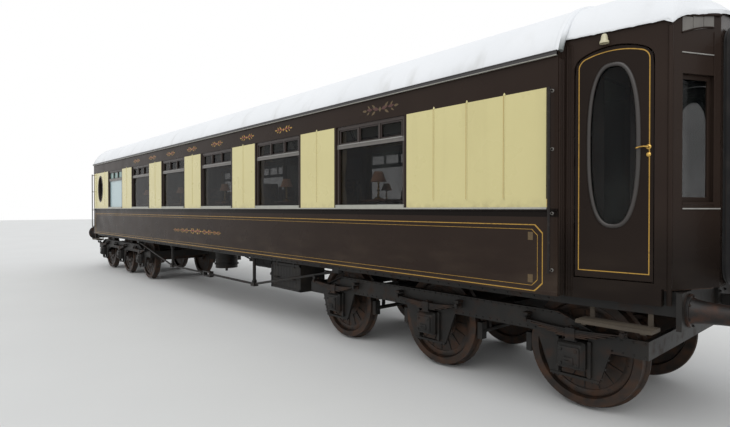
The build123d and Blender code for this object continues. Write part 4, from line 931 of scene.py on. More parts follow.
posts, light_trim, frieze = Shape(), Shape(), Shape()
for end in ENDS.values():
    for side in SIDES.values():
        wall = wall_place(end, side, 0)
        bevel_wall = wall_place(end, side, 0, bevel=True)
        for along, radius, out in POSTS:
            line = [wall @ Vector((along, z, out)) for z in (POST_FOOT, POST_HEAD)]
            posts.tube(line, radius, 12)
        for y in REEDS:
            line = [(end * HALF_BODY, side * y, z) for z in (POST_FOOT, REED_HEAD)]
            posts.tube(line, REED_RADIUS, 12)
        # A moulding follows the eave on both walls.
        for place, far in ((wall, WALL_LONG), (bevel_wall, BEVEL_LONG)):
            line = [place @ Vector((along, 0, 0.010)) for along in spaced(0.01, far - 0.01, 12)]
            for spot in line:
                spot.z = dome_height(abs(spot.x) - HALF_BODY, abs(spot.y)) - 0.05
            posts.tube(line, 0.012, 8)
        # The end wall's frieze: three boards over an arched moulding, and a level line under it
        joints = spaced(FRIEZE_START, FRIEZE_STOP, 3)
        for left, right in zip(joints, joints[1:]):
            left, right = left + 0.002, right - 0.002
            slope = FRIEZE_RISE / (FRIEZE_STOP - FRIEZE_START)
            low, high = [FRIEZE_LOW + slope * (along - FRIEZE_START) for along in (left, right)]
            board = [(left, low), (right, high), (right, high + 0.105), (left, low + 0.125)]
            frieze.plate(board, (0, 0.005), bevel_wall)
        line = []
        for t in spaced(0, 1, 8):
            along = FRIEZE_START + (FRIEZE_STOP - FRIEZE_START) * t
            up = FRIEZE_LOW - 0.004 + FRIEZE_RISE * sin(pi / 2 * t)
            line.append(bevel_wall @ Vector((along, up, 0.004)))
        posts.tube(line, 0.007, 8)
        level = (WAIST + 1.247, WAIST + 1.256)
        light_trim.box((FRIEZE_START, FRIEZE_STOP), level, (0, 0.008), bevel_wall)
        # A pale line at the waist, a fillet beside the window and a sill under it
        waist_line = (WINDOW_ALONG - WINDOW_REACH, BEVEL_LONG - 0.004)
        light_trim.box(waist_line, (WAIST - 0.006, WAIST + 0.005), (0, 0.010), bevel_wall)
        posts.box((0.438, 0.452), (WAIST + 0.02, WAIST + 1.44), (0, 0.006), bevel_wall)
        sill_width, sill_high = about(WINDOW_ALONG, WINDOW_REACH), (WAIST + 0.031, WINDOW_LOW)
        posts.box(sill_width, sill_high, (-0.05, 0.004), bevel_wall)
        # The window's own frame stands in the reveal, before its pane.
        outer = rectangle(about(WINDOW_ALONG, WINDOW_REACH - 0.001), (WINDOW_LOW, WINDOW_HIGH))
        heights = (WINDOW_LOW + 0.04, WINDOW_HIGH - 0.036)
        inner = rectangle(about(WINDOW_ALONG, WINDOW_REACH - 0.036), heights)
        posts.ring(outer, inner, (-0.051, -0.034), bevel_wall)
posts.make("end_mouldings", end_paint, "coach", "umber_paint", bevel=0.0015)
light_trim.make("end_sills", edge_grey, "coach", "rail_paint", bevel=0.002)
frieze.make("end_friezes", frieze_grey, "coach", "rail_paint", bevel=0.0015)

# Vestibule doors
# An arched leaf with a long oval light in a heavy rounded ring, a gilt line round it, a brass
# lever and lock, and three knuckled hinges.
DOOR_ALONG, DOOR_DEPTH, DOOR_THICK = 0.396, 0.016, 0.04
DOOR_LEAF = (0.31, 1.306, WAIST + 1.29, WAIST + 1.383, 0.12)
OUTER_LINE = (0.282, WAIST - 0.545, WAIST + 1.292, WAIST + 1.352, 0.092)
INNER_LINE = (0.274, WAIST - 0.537, WAIST + 1.284, WAIST + 1.344, 0.084)
LIGHT_WIDE, LIGHT_HIGH, LIGHT_MIDDLE = 0.1825, 0.675, (0, WAIST + 0.54)
LIGHT_POWER, LIGHT_POINTS = 0.77, 96
RING = (
    # growth over the light's edge, height over the door's face
    (-0.004, 0.0), (-0.004, 0.006), (0.003, 0.0115), (0.012, 0.0135), (0.023, 0.0115),
    (0.031, 0.006), (0.034, -0.001),
)
HINGE_ALONG, HINGE_DEEP, HINGE_LONG = 0.078, 0.072, 0.09
HINGE_FEET = (1.528, 2.298, 3.018)
HINGE_PIN = ((0, 0.006), (0.001, 0.007), (HINGE_LONG - 0.001, 0.007), (HINGE_LONG, 0.006))
DOOR_STRAP = (
    # distance from the hinge's axis along the door, depth inside the wall's face
    (0.008, 0.054), (0.058, 0.054), (0.058, 0.061), (0.016, 0.061),
    (0.016, 0.078), (0, 0.078), (0, 0.066), (0.008, 0.066),
)
HANDLE = (0.272, WAIST + 0.505)
ROSE = (
    # height over the door's face, radius
    (0, 0.019), (0.004, 0.020), (0.007, 0.016), (0.010, 0.010), (0.030, 0.009), (0.036, 0.011),
    (0.042, 0.007),
)
LEVER = ((0.0, 0.0, 0.034), (-0.03, 0.004, 0.036), (-0.06, 0.002, 0.036), (-0.088, -0.006, 0.036))
LOCK = ((0, 0.018), (0.004, 0.018), (0.007, 0.014), (0.010, 0.006))
brass = Finish("brass", Metallic=1.0)
tarnish = brass.noise(25, 4).ramp(0.4, 0.8)
brass.wear(Base_Color=brass.mix(tarnish, rgb(206, 168, 92), rgb(150, 116, 60)))
brass.wear(Roughness=tarnish * 0.2 + 0.22)
door_paint = Finish("door_paint", **UMBER_GLOSS)
# Painted shade: the doors are a shaded copy of the body's umber, mixed two fifths of the way to the
# near-black shade tone.
door_paint.wear(Base_Color=door_paint.mix(0.4, umber_paint(door_paint), PAINTED_SHADE_TONE))
brushed(door_paint).bump(door_paint.noise(5, 3, (1, 1, 0.2)), 0.002)
ring_paint = Finish("ring_paint", Coat_Weight=0.25, Coat_Roughness=0.15).rough(0.3, 0.15, 10)
ring_paint.mottle(rgb(34, 29, 26), rgb(50, 44, 40), 6, 4)


def arch_outline(half, low, spring, top, corner, count=10):
    """A doorway's outline with a low arch and rounded shoulders, from the bottom left round: half
    its width, its foot, the arch's spring and top, and the radius of its corners."""
    rise = top - spring
    radius = (half**2 + rise**2) / (2 * rise)
    middle = top - radius
    # The shoulder's arc touches the jamb and the arch.
    shoulder_x = half - corner
    shoulder_z = middle + math.sqrt((radius - corner) ** 2 - shoulder_x**2)
    meet = math.atan2(shoulder_z - middle, shoulder_x)
    right = [(half, low)]
    for a in spaced(0, meet, count):
        right.append((shoulder_x + corner * cos(a), shoulder_z + corner * sin(a)))
    for a in spaced(meet, pi / 2, count)[1:]:
        right.append((radius * cos(a), middle + radius * sin(a)))
    return [(-x, z) for x, z in right[:-1]] + list(reversed(right))


def light_outline(grow=0.0):
    """The edge of a door's oval light, grown all round."""
    return oval(LIGHT_WIDE + grow, LIGHT_HIGH + grow, LIGHT_MIDDLE, LIGHT_POINTS, LIGHT_POWER)


door_outline = arch_outline(*DOOR_LEAF)
door_feet = (door_outline[0], door_outline[-1])
door_edge = spread(door_outline, LIGHT_MIDDLE, LIGHT_POINTS, door_feet)
gilt_lines = arch_outline(*OUTER_LINE), arch_outline(*INNER_LINE)
for end_name, end in ENDS.items():
    for side_name, side in SIDES.items():
        body = f"side_door_{end_name}_{side_name}"
        place = wall_place(end, side, DOOR_ALONG, DOOR_DEPTH)
        leaf_shape, rings, pane = Shape(), Shape(), Shape()
        leaf_shape.ring(door_edge, light_outline(), (-DOOR_THICK, 0), place)
        leaf_name = f"door_leaf_{end_name}_{side_name}"
        door = leaf_shape.make(leaf_name, door_paint, body, "umber_paint", bevel=0.002)
        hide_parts(f"door_{end_name}_{side_name}")
        for face, out in ((0, 1), (-DOOR_THICK, -1)):
            rows = []
            for grow, rise in RING:
                level = face + out * rise
                rows.append([place @ Vector((a, b, level)) for a, b in light_outline(grow)])
            rings.rows(rows, loop=True)
        rings.make(f"door_ring_{end_name}_{side_name}", ring_paint, body, "umber_paint", smooth=60)
        pane.plate(light_outline(), (-0.024, -0.016), place)
        pane_piece = pane.make(f"door_pane_{end_name}_{side_name}", glass, body, "clear_glass")
        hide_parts(f"door_glass_{end_name}_{side_name}")
        knuckles = Shape()
        hinge = wall_place(end, side, HINGE_ALONG)
        for foot in HINGE_FEET:
            rows = []
            for z in (foot, foot + HINGE_LONG):
                rows.append([hinge @ Vector((a, z, -deep)) for a, deep in DOOR_STRAP])
            knuckles.rows(rows)
            pin = hinge @ Matrix.Translation((0, foot, -HINGE_DEEP))
            knuckles.turn(HINGE_PIN, pin @ Matrix.Rotation(-pi / 2, 4, "X"), 14)
        knuckles.make(f"door_hinges_{end_name}_{side_name}", ring_paint, body, "umber_paint")
        line_shape, fittings = Shape(), Shape()
        line_shape.ring(*gilt_lines, (PAINT_BACK, GILT_THICK), place)
        line_shape.make(f"door_line_{end_name}_{side_name}", gilt, body, "gilt")
        for face, out in ((0.0, 1), (-DOOR_THICK, -1)):
            spot = place @ Matrix.Translation((*HANDLE, face)) @ Matrix.Diagonal((1, 1, out, 1))
            fittings.turn(ROSE, spot, 20)
            lever = [spot @ Vector(point) for point in LEVER]
            fittings.tube(lever, [0.0085, 0.007, 0.0065, 0.0075])
            fittings.turn(LOCK, spot @ Matrix.Translation((0, -0.062, 0)), 20)
        fittings.make(f"door_handle_{end_name}_{side_name}", brass, body, "brass")

# Door lamps
# A small cream bell of pressed steel over each vestibule door, hung mouth down from a short stub
# that is screwed to the wall.
LAMP_ALONG, LAMP_UP = 0.34, WAIST + 1.446
BELL = (
    # distance down from the stub, radius
    (-0.038, 0.012), (-0.034, 0.018), (-0.022, 0.024), (-0.006, 0.027), (0.016, 0.031),
    (0.026, 0.038), (0.042, 0.038), (0.042, 0.033),
)
lamp_paint = Finish("lamp_paint", Coat_Weight=0.3).rough(0.3, 0.2, 20)
lamp_paint.mottle(rgb(206, 200, 168), rgb(188, 180, 148), 30, 4)
lamps = Shape()
for end in ENDS.values():
    for side in SIDES.values():
        place = wall_place(end, side, LAMP_ALONG)
        lamps.tube([place @ Vector((0, LAMP_UP, out)) for out in (0, 0.034)], 0.011, 12)
        bell = place @ Matrix.Translation((0, LAMP_UP, 0.04)) @ Matrix.Rotation(pi / 2, 4, "X")
        lamps.turn(BELL, bell, 24)
lamp_piece = lamps.make("lamp_bells", lamp_paint, "coach", "cream_paint")
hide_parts("door_lamps")

# Handrails and footsteps
# Round iron rails painted like the body, held off it by turned brackets, and oak boards on iron
# hangers under the doors.
RAIL_X, BRACKET_HEIGHTS = 7.65, (WAIST - 0.55, WAIST - 0.042, WAIST + 0.53, WAIST + 1.05)
BRACKET = (
    # distance out from the side, radius
    (0, 0.016), (0.004, 0.016), (0.010, 0.009), (0.044, 0.0075), (0.05, 0.0135), (0.062, 0.0142),
    (0.072, 0.008),
)
rail_paint = Finish("rail_paint", Specular_IOR_Level=0.25)
rubbed = rail_paint.noise(30, 4).ramp(0.55, 0.8)
rail_paint.wear(Base_Color=rail_paint.mix(rubbed, rgb(26, 21, 19), rgb(52, 46, 42)))
rail_paint.wear(Roughness=rubbed * 0.2 + 0.3)
dress(rail_paint, "handrails")
step_wood = Finish("step_wood").rough(0.7, 0.2, 20)
step_wood.mottle(rgb(52, 45, 38), rgb(88, 78, 64), 12, 6, (0.15, 1, 1))
step_wood.bump(step_wood.noise(30, 5, (0.1, 1, 1)), 0.002)
dress(step_wood, "footsteps")
bracket_grey = Finish("bracket_grey", Roughness=0.45)
bracket_grey.mottle(rgb(92, 88, 84), rgb(124, 120, 114), 40, 4)


def outwards(x, y, z, side):
    """A place whose z axis points out from a side of the coach."""
    return Matrix.Translation((x, y, z)) @ Matrix.Rotation(-side * pi / 2, 4, "X")


brackets = Shape()
for end in ENDS.values():
    for side in SIDES.values():
        for z in BRACKET_HEIGHTS:
            brackets.turn(BRACKET, outwards(end * RAIL_X, side * HALF_WIDTH, z, side), 16)
brackets.make("rail_brackets", bracket_grey, "coach", "rail_paint")

# Gangways
# Black cloth folded over iron hoops between the end wall and a steel faceplate, with a wooden
# lining and a tread plate to walk on. Dust greys the outer folds.
GANGWAY_HALF, GANGWAY_FOOT, GANGWAY_HEAD = 0.55, WAIST - 0.65, WAIST + 1.53
PASSAGE_HALF, FLOOR_TOP, PASSAGE_TOP = 0.33, 1.298, WAIST + 1.29
PASSAGE_MIDDLE = (0, (FLOOR_TOP + PASSAGE_TOP) / 2)
FACE_X, FACEPLATE, FACE_POINTS = 9.28, 0.045, 96
FOLDS, FOLD_DEEP, FOLD_CORNER, FOLD_STEPS = 9, 0.036, 0.15, 6
FOLD_LONG = (FACE_X - FACEPLATE - END_X) / FOLDS
CLOTH_THICK, HOOP_RADIUS = 0.003, 0.005
cloth = Finish("gangway_cloth", Sheen_Weight=0.2, Specular_IOR_Level=0.2).rough(0.8, 0.1, 20)
fold_dust = cloth.noise(6, 5).ramp(0.4, 0.85) * 0.4
cloth.wear(Base_Color=cloth.mix(fold_dust, rgb(26, 25, 26), rgb(66, 62, 58)))
cloth.bump(cloth.noise(250, 2) * 0.3 + cloth.noise(5), 0.003)
iron = Finish("black_iron", Metallic=0.1, Specular_IOR_Level=0.3)
rust = iron.noise(7, 6).ramp(0.5, 0.78)
grey_dust = iron.noise(2.5, 4).ramp(0.3, 0.9) * 0.35
iron_tone = iron.mix(grey_dust, rgb(24, 23, 22), rgb(62, 57, 51))
iron.wear(Base_Color=iron.mix(rust * 0.4, iron_tone, rgb(70, 46, 32)), Roughness=rust * 0.25 + 0.5)
iron.bump(iron.noise(40, 4), 0.0015)
lining_wood = Finish("lining_wood", Coat_Weight=0.2).rough(0.3, 0.1, 9)
lining_wood.wear(Base_Color=veneer(lining_wood, (2, 1, 0.3)))


def rounded(half, low, high, corner, count=8):
    """A rectangle with rounded corners, anticlockwise from the bottom right."""
    points = []
    for x, y, start in (
        (half - corner, low + corner, -pi / 2),
        (half - corner, high - corner, 0),
        (corner - half, high - corner, pi / 2),
        (corner - half, low + corner, pi),
    ):
        turns = spaced(start, start + pi / 2, count)
        points += [(x + corner * cos(a), y + corner * sin(a)) for a in turns]
    return points


def gangway_line(inset=0.0, corner=FOLD_CORNER, count=8):
    """The gangway's outline, drawn in all round."""
    return rounded(GANGWAY_HALF - inset, GANGWAY_FOOT + inset, GANGWAY_HEAD - inset, corner, count)


def end_place(end, x):
    """The plane of an end at a distance along the coach: x across it, y up and z outwards."""
    turn = Matrix(((0, 0, end), (1, 0, 0), (0, 1, 0))).to_4x4()
    return Matrix.Translation((end * x, 0, 0)) @ turn


hoops, faceplates, passage = Shape(), Shape(), Shape()
doorway = rectangle((-PASSAGE_HALF, PASSAGE_HALF), (FLOOR_TOP, PASSAGE_TOP))
plate_line = gangway_line()
plate_ends = (plate_line[0], plate_line[-1])
plate_outer = spread(plate_line, PASSAGE_MIDDLE, FACE_POINTS, plate_ends)
plate_inner = spread(doorway, PASSAGE_MIDDLE, FACE_POINTS, doorway)
for name, end in ENDS.items():
    folds, backs = [], []
    for t in spaced(0, FOLDS, FOLDS * FOLD_STEPS):
        place = end_place(end, END_X + t * FOLD_LONG)
        inset = 0.003 + FOLD_DEEP * (0.5 - 0.5 * cos(pi * (t - 0.5))) ** 0.8
        folds.append([place @ Vector((a, b, 0)) for a, b in gangway_line(inset)])
        backs.append([place @ Vector((a, b, 0)) for a, b in gangway_line(inset + CLOTH_THICK)])
    bellows = Shape().rows(folds + backs[::-1], loop=True)
    skin = bellows.make(f"gangway_bellows_{name}", cloth, "coach", "gangway_cloth", smooth=50)
    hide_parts(f"gangway_{name}")
    # The way round each fold of the cloth.
    rounds = [sum((b - a).length for a, b in zip(fold, fold[1:] + fold[:1])) for fold in folds]
    for fold in range(0, FOLDS, 2):
        place = end_place(end, END_X + (fold + 0.5) * FOLD_LONG)
        ring = [place @ Vector((a, b, 0)) for a, b in gangway_line(0.006)]
        middle, along = place @ Vector((0, 2.35, 0)), place.to_3x3() @ Vector((0, 0, 1))
        away = [(point - middle).normalized() for point in ring]
        rows = []
        for a in bearings(6):
            c, s = HOOP_RADIUS * cos(a), HOOP_RADIUS * sin(a)
            rows.append([point + along * c + out * s for point, out in zip(ring, away)])
        hoops.rows(rows, loop=True)
    faceplates.ring(plate_outer, plate_inner, (0, FACEPLATE), end_place(end, FACE_X - FACEPLATE))
    middle = PASSAGE_MIDDLE[1]
    lined = [(a * 1.03, middle + (b - middle) * 1.012) for a, b in doorway]
    passage.ring(lined, doorway, (0.002, FACE_X - FACEPLATE - END_X), end_place(end, END_X))
hoops.make("gangway_hoops", iron, "coach", "black_iron", smooth=60)
faceplates.make("gangway_faceplates", iron, "coach", "black_iron", bevel=0.004)
passage.make("gangway_linings", lining_wood, "coach", "inner_wood")

TREAD_ROWS, TREAD_LINES, TREAD_STEP, RIB_STEP = 13, 16, 0.037, 0.04
tread = Finish("tread_plate", Metallic=0.8)
tread_worn = tread.noise(9, 4)
tread.wear(Base_Color=tread.mix(tread_worn, rgb(96, 94, 90), rgb(140, 136, 128)))
tread.wear(Roughness=tread_worn * 0.3 + 0.3)
rib = Shape().drawn(((-0.0035, 0), (-0.0018, 0.002), (0.0018, 0.002), (0.0035, 0)), (-0.016, 0.016))
ribs = []
for end in ENDS.values():
    for i in range(TREAD_ROWS):
        for j in range(TREAD_LINES):
            spot = (end * (END_X + 0.03 + i * TREAD_STEP), -0.3 + j * RIB_STEP, FLOOR_TOP + 0.0005)
            ribs.append((spot, (0, 0, pi / 4 if (i + j) % 2 else -pi / 4), FULL_SIZE))
repeat("tread_ribs", rib, ribs, tread, "coach")

# Faceplate rivets
# Steel rivets with rounded heads, set hot, hold each faceplate to the hoop behind it. The same
# rivet, and a six-sided bolt on its washer, serve under the floor.
RIVET_STEP, RIVET_INSET = 0.13, 0.035
rivet = Shape()
rivet.turn([(-0.001, 0.012), (0.003, 0.0115), (0.007, 0.008), (0.0085, 0.003)], Matrix(), 8)
bolt = Shape().turn([(-0.001, 0.02), (0.002, 0.02)], Matrix(), 12)
bolt.turn([(0.002, 0.0145), (0.012, 0.0145), (0.014, 0.012)], Matrix(), 6)
bolt.turn([(0.014, 0.007), (0.019, 0.006)], Matrix(), 8)
plate_rivets = []
for end in ENDS.values():
    line = gangway_line(RIVET_INSET, FOLD_CORNER - 0.03, 2)
    for (a0, b0), (a1, b1) in zip(line, line[1:] + line[:1]):
        count = max(1, round(math.dist((a0, b0), (a1, b1)) / RIVET_STEP))
        for t in spaced(0, 1, count)[:-1]:
            spot = (end * (FACE_X - 0.0085), a0 + (a1 - a0) * t, b0 + (b1 - b0) * t)
            plate_rivets.append((spot, (0, end * pi / 2, 0), FULL_SIZE))
repeat("faceplate_rivets", rivet, plate_rivets, iron, "coach")

# Gangway doors
# A flat leaf with a moulded frame round its light, another round the panel under it, and a brass
# lever on both faces.
LEAF_X, LEAF_THICK = 8.689, 0.036
DOOR_MOULDINGS = (
    # foot and head over the waist, half width and growth of its two edges, height
    (0.07, 1.07, ((0.2, 0.05), (0.178, 0.028)), 0.009),
    (-0.46, -0.14, ((0.21, 0.03), (0.19, 0.01)), 0.007),
)
END_ROSE = ((0, 0.022), (0.004, 0.022), (0.008, 0.012), (0.034, 0.010), (0.042, 0.007))
END_LEVER = ((0, 0, 0.036), (0.05, 0.004, 0.038), (0.1, -0.006, 0.037))
# The gangway doors take the same shaded umber, with its painted shade.
dress(door_paint, "gangway_door_near", "gangway_door_far")
for name, end in ENDS.items():
    body = f"end_door_{name}"
    moulding, lever = Shape(), Shape()
    for x, out in ((LEAF_X + LEAF_THICK, 1), (LEAF_X, -1)):
        place = end_place(end, x) @ Matrix.Diagonal((1, 1, out, 1))
        for foot, head, lines, proud in DOOR_MOULDINGS:
            outer, inner = [
                rectangle((-half, half), (WAIST + foot - grow, WAIST + head + grow))
                for half, grow in lines
            ]
            moulding.ring(outer, inner, (-0.001, proud), place)
        spot = place @ Matrix.Translation((-0.27, WAIST - 0.06, 0))
        lever.turn(END_ROSE, spot, 16)
        lever.tube([spot @ Vector(point) for point in END_LEVER], [0.0085, 0.007, 0.008], 8)
    moulding.make(f"end_door_mouldings_{name}", door_paint, body, "umber_paint", bevel=0.002)
    lever.make(f"end_door_levers_{name}", brass, body, "brass")

# Buffers
# Turned iron housings bolted to the headstock, with greased plungers and broad, slightly domed
# heads that are rubbed bright and rusty where they meet.
HEADSTOCK_FACE = 8.60
BUFFER_Y, BUFFER_Z = 0.86, 1.078
PLUNGER_START, PLUNGER_STOP = 0.374, 0.66
FLANGE_BOLTS, FLANGE_RADIUS = 6, 0.121
BUFFER_PROFILE = (
    # distance from the headstock, radius
    (0.0, 0.135), (0.020, 0.135), (0.024, 0.131), (0.024, 0.112), (0.034, 0.106), (0.060, 0.098),
    (0.120, 0.090), (0.220, 0.082), (0.330, 0.077), (0.336, 0.084), (0.350, 0.087),
    (0.366, 0.087), (0.372, 0.083), (0.372, 0.052), (0.640, 0.050), (0.668, 0.058),
    (0.690, 0.085), (0.706, 0.150), (0.712, 0.205), (0.720, 0.219), (0.734, 0.222),
    (0.739, 0.216), (0.7435, 0.170), (0.7475, 0.100), (0.7498, 0.030),
)
buffer_iron = Finish("buffer_iron", Metallic=0.3, Specular_IOR_Level=0.4)
plunger = abs(buffer_iron.x) > HEADSTOCK_FACE + PLUNGER_START
plunger = plunger * (abs(buffer_iron.x) < HEADSTOCK_FACE + PLUNGER_STOP)
buffer_rust = buffer_iron.noise(9, 6).ramp(0.4, 0.8)
buffer_tone = buffer_iron.mix(buffer_rust * 0.6, rgb(30, 28, 27), rgb(92, 58, 40))
buffer_iron.wear(Base_Color=buffer_iron.mix(plunger, buffer_tone, rgb(104, 98, 88)))
buffer_iron.wear(Roughness=buffer_rust * 0.25 + 0.4)
buffer_iron.bump(buffer_iron.noise(60, 4), 0.001)
turned, bolts = Shape(), []
for end in ENDS.values():
    facing = (0, end * pi / 2, 0)
    for side in SIDES.values():
        place = Matrix.Translation((end * HEADSTOCK_FACE, side * BUFFER_Y, BUFFER_Z))
        turned.turn(BUFFER_PROFILE, place @ Matrix.Rotation(end * pi / 2, 4, "Y"), 48)
        for a in bearings(FLANGE_BOLTS, pi / FLANGE_BOLTS):
            y, z = side * BUFFER_Y + FLANGE_RADIUS * cos(a), BUFFER_Z + FLANGE_RADIUS * sin(a)
            bolts.append(((end * (HEADSTOCK_FACE + 0.023), y, z), facing, (0.62, 0.62, 0.8)))
buffer_piece = turned.make("buffer_castings", buffer_iron, "coach", "buffer_iron", smooth=40)
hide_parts("buffers")

# Drawgear
# A forged hook through a plate on each headstock. Its coupling hangs: two links, a trunnion and
# the threaded screw with its weighted handle.
SCREW_OUT, SCREW_DROP = 0.200, 0.335
THREAD = [(0.0, 0.034), (0.03, 0.034), (0.032, 0.02)]
THREAD += [(0.034 + i * 0.008, 0.021 if i % 2 else 0.0165) for i in range(18)]
THREAD += [(0.180, 0.024), (0.205, 0.024), (0.210, 0.015)]
HANDLE_PATH = ((0, 0, -0.19), (0, 0.05, -0.195), (0, 0.16, -0.215))
HANDLE_WEIGHT = ((-0.03, 0.012), (-0.02, 0.024), (0.012, 0.027), (0.03, 0.018))
dress(iron, "drawgear")
screw = Shape()
for end in ENDS.values():
    top = Vector((end * (HEADSTOCK_FACE + SCREW_OUT), 0, BUFFER_Z - SCREW_DROP))
    screw.turn(THREAD, Matrix.Translation(top) @ Matrix.Rotation(pi, 4, "X"), 16)
    handle = [top + Vector(point) for point in HANDLE_PATH]
    screw.tube(handle, [0.010, 0.009, 0.009])
    weight_place = Matrix.Translation(handle[-1]) @ Matrix.Rotation(1.4, 4, "X")
    screw.turn(HANDLE_WEIGHT, weight_place, 14)
    for y in (0.0875, -0.0875):
        for z in (BUFFER_Z + 0.08, BUFFER_Z - 0.08):
            spot = (end * (HEADSTOCK_FACE + 0.03), y, z)
            bolts.append((spot, (0, end * pi / 2, 0), (0.8, 0.8, 0.9)))
screw.make("coupling_screws", iron, "coach", "black_iron")
repeat("headstock_bolts", bolt, bolts, iron, "coach")

# Underframe
# Rolled steel channels, painted black, under a timber floor. Rivets join each solebar to the cross
# members behind it, and a gusset plate ties it to the headstock at each corner.
SOLEBAR_Y, SOLEBAR_LOW, RIVETED_HALF, WEB_RIVETS = 1.08, 1.035, 7.5, 101
MEMBERS = (-5.95, -3.3, -1.9, -0.6, 0.6, 1.9, 3.3, 5.95)
GUSSET = ((8.555, 0.98), (8.555, 0.72), (8.27, 0.96))
dress(iron, "underframe")
web_rivets = []
for side in SIDES.values():
    outward = (-side * pi / 2, 0, 0)
    for x in spaced(-RIVETED_HALF, RIVETED_HALF, WEB_RIVETS - 1):
        spot = (x, side * SOLEBAR_Y, SOLEBAR_LOW + 0.028)
        web_rivets.append((spot, outward, (0.8, 0.8, 0.8)))
    for member in MEMBERS:
        for x in about(member, 0.055):
            for up in (0.065, 0.1, 0.135):
                spot = (x, side * SOLEBAR_Y, SOLEBAR_LOW + up)
                web_rivets.append((spot, outward, FULL_SIZE))
repeat("solebar_rivets", rivet, web_rivets, iron, "coach")
gussets = Shape()
for end in ENDS.values():
    for side in SIDES.values():
        corners = [(end * x, side * y) for x, y in GUSSET]
        gussets.plate(corners, (1.026, SOLEBAR_LOW))
gussets.make("solebar_gussets", iron, "coach", "black_iron", bevel=0.002)

# Truss rods
# Round rods under the solebars, strained over two queen posts by a turnbuckle, with nuts and
# collars where they are made fast.
TRUSS_Y, POST_X, ROD_Z = 1.04, 1.9, 0.563
BUCKLE_END, ANCHOR_X, ANCHOR_Z = 0.172, 4.33, 1.010
POST_COLLARS = (
    # height and radius up a collar, and how many sides it has
    (((1.016, 0.050), (1.034, 0.052)), 6),
    (((0.975, 0.036), (0.985, 0.042), (1.0, 0.042), (1.016, 0.036)), 20),
    (((0.592, 0.036), (0.602, 0.043), (0.625, 0.043), (0.635, 0.034)), 20),
)
ROD_NUT = ((0, 0.036), (0.034, 0.036), (0.040, 0.030))
ROD_THREAD = [(0.040, 0.0235)]
ROD_THREAD += [(0.044 + i * 0.006, 0.024 if i % 2 else 0.021) for i in range(14)]
ANCHOR_NUT = ((0, 0.030), (0.022, 0.030), (0.026, 0.025))
dress(iron, "truss_rods")
collars = Shape()
for side in SIDES.values():
    y = side * TRUSS_Y
    for x in (-POST_X, POST_X):
        for profile, sides in POST_COLLARS:
            collars.turn(profile, Matrix.Translation((x, y, 0)), sides)
    for end in (1, -1):
        outward = Matrix.Rotation(end * pi / 2, 4, "Y")
        buckle = Matrix.Translation((end * BUCKLE_END, y, ROD_Z)) @ outward
        collars.turn(ROD_NUT, buckle, 6)
        collars.turn(ROD_THREAD, buckle, 14)
        anchor = Matrix.Translation((end * ANCHOR_X, y, ANCHOR_Z)) @ outward
        collars.turn(ANCHOR_NUT, anchor, 6)
        collars.turn([(0.026, 0.017), (0.044, 0.016)], anchor, 12)
collars.make("truss_collars", iron, "coach", "black_iron")

# Battery boxes
# Boarded boxes slung from the frame in iron straps, with a sloping lid on two hinges, angle irons
# at the corners and a pair of lifting handles.
BOX_X, BOX_FRONT, BOX_LOW, BOX_EAVE = (2.25, 3.15), 0.90, 0.548, 0.985
BOARDS, BOARD_STEP, ANGLE_WIDE, GRIP_Z = 9, 0.09, 0.04, 0.74
box_paint = Finish("box_paint", Specular_IOR_Level=0.3)
box_dust = box_paint.noise(4, 5).ramp(0.35, 0.85) * 0.5
box_paint.wear(Base_Color=box_paint.mix(box_dust, rgb(30, 28, 26), rgb(78, 70, 60)))
box_paint.wear(Roughness=box_dust * 0.3 + 0.5)
box_paint.bump(box_paint.noise(12, 5, (0.2, 0.2, 2)), 0.002)
dress(box_paint, "battery_boxes")
boards, straps = Shape(), Shape()
for side in SIDES.values():
    low_x, high_x = sorted(-side * x for x in BOX_X)
    front = side * BOX_FRONT
    for i in range(BOARDS):
        x = low_x + BOARD_STEP * (i + 0.5)
        faces = (front, front + side * 0.006)
        boards.box((x + 0.002, x + 0.088), faces, (BOX_LOW + 0.045, BOX_EAVE - 0.045))
    faces = (front - side * 0.002, front + side * 0.010)
    for x in (low_x, high_x - ANGLE_WIDE):
        straps.box((x, x + ANGLE_WIDE), faces, (BOX_LOW, BOX_EAVE))
    for z in (BOX_LOW, BOX_EAVE - ANGLE_WIDE):
        straps.box((low_x, high_x), faces, (z, z + ANGLE_WIDE))
    for x in (low_x + 0.2, high_x - 0.2):
        faces = (front + side * 0.004, front + side * 0.014)
        straps.box(about(x, 0.02), faces, (BOX_EAVE - 0.06, BOX_EAVE + 0.02))
        grip = [(x - 0.06, 0.012), (x - 0.06, 0.045), (x + 0.06, 0.045), (x + 0.06, 0.012)]
        straps.tube([(a, front + side * out, GRIP_Z) for a, out in grip], 0.008, 8)
boards.make("battery_boards", box_paint, "coach", "black_iron", bevel=0.002)
straps.make("battery_irons", iron, "coach", "black_iron", bevel=0.0015)

# Brake cylinders
# Two cast drums with raised bands, whose covers are bolted on all round, and beside them an air
# reservoir with domed ends, held by four straps.
DRUM_X, COVER_BOLTS, COVER_RADIUS, COVER_Z = 1.25, 16, 0.267, 0.612
DRUM_BAND = ((0, 0.2552), (0.004, 0.262), (0.026, 0.262), (0.03, 0.2552))
TANK_HALF, TANK_Y, TANK_Z, TANK_STRAPS = 0.699, 0.56, 0.728, (-0.62, -0.2, 0.2, 0.62)
TANK_STRAP = ((-0.02, 0.1902), (-0.018, 0.1945), (0.018, 0.1945), (0.02, 0.1902))
TANK_END = ((0.0, 0.189), (0.02, 0.176), (0.036, 0.140), (0.046, 0.085), (0.050, 0.02))
dress(iron, "brake_cylinders")
drum_bolts, drum_bands = [], Shape()
for x in (-DRUM_X, DRUM_X):
    for a in bearings(COVER_BOLTS):
        spot = (x + COVER_RADIUS * cos(a), COVER_RADIUS * sin(a), COVER_Z)
        drum_bolts.append((spot, (0, 0, a), (0.45, 0.45, 0.7)))
    for z in (0.72, 0.98):
        drum_bands.turn(DRUM_BAND, Matrix.Translation((x, 0, z)), 48)
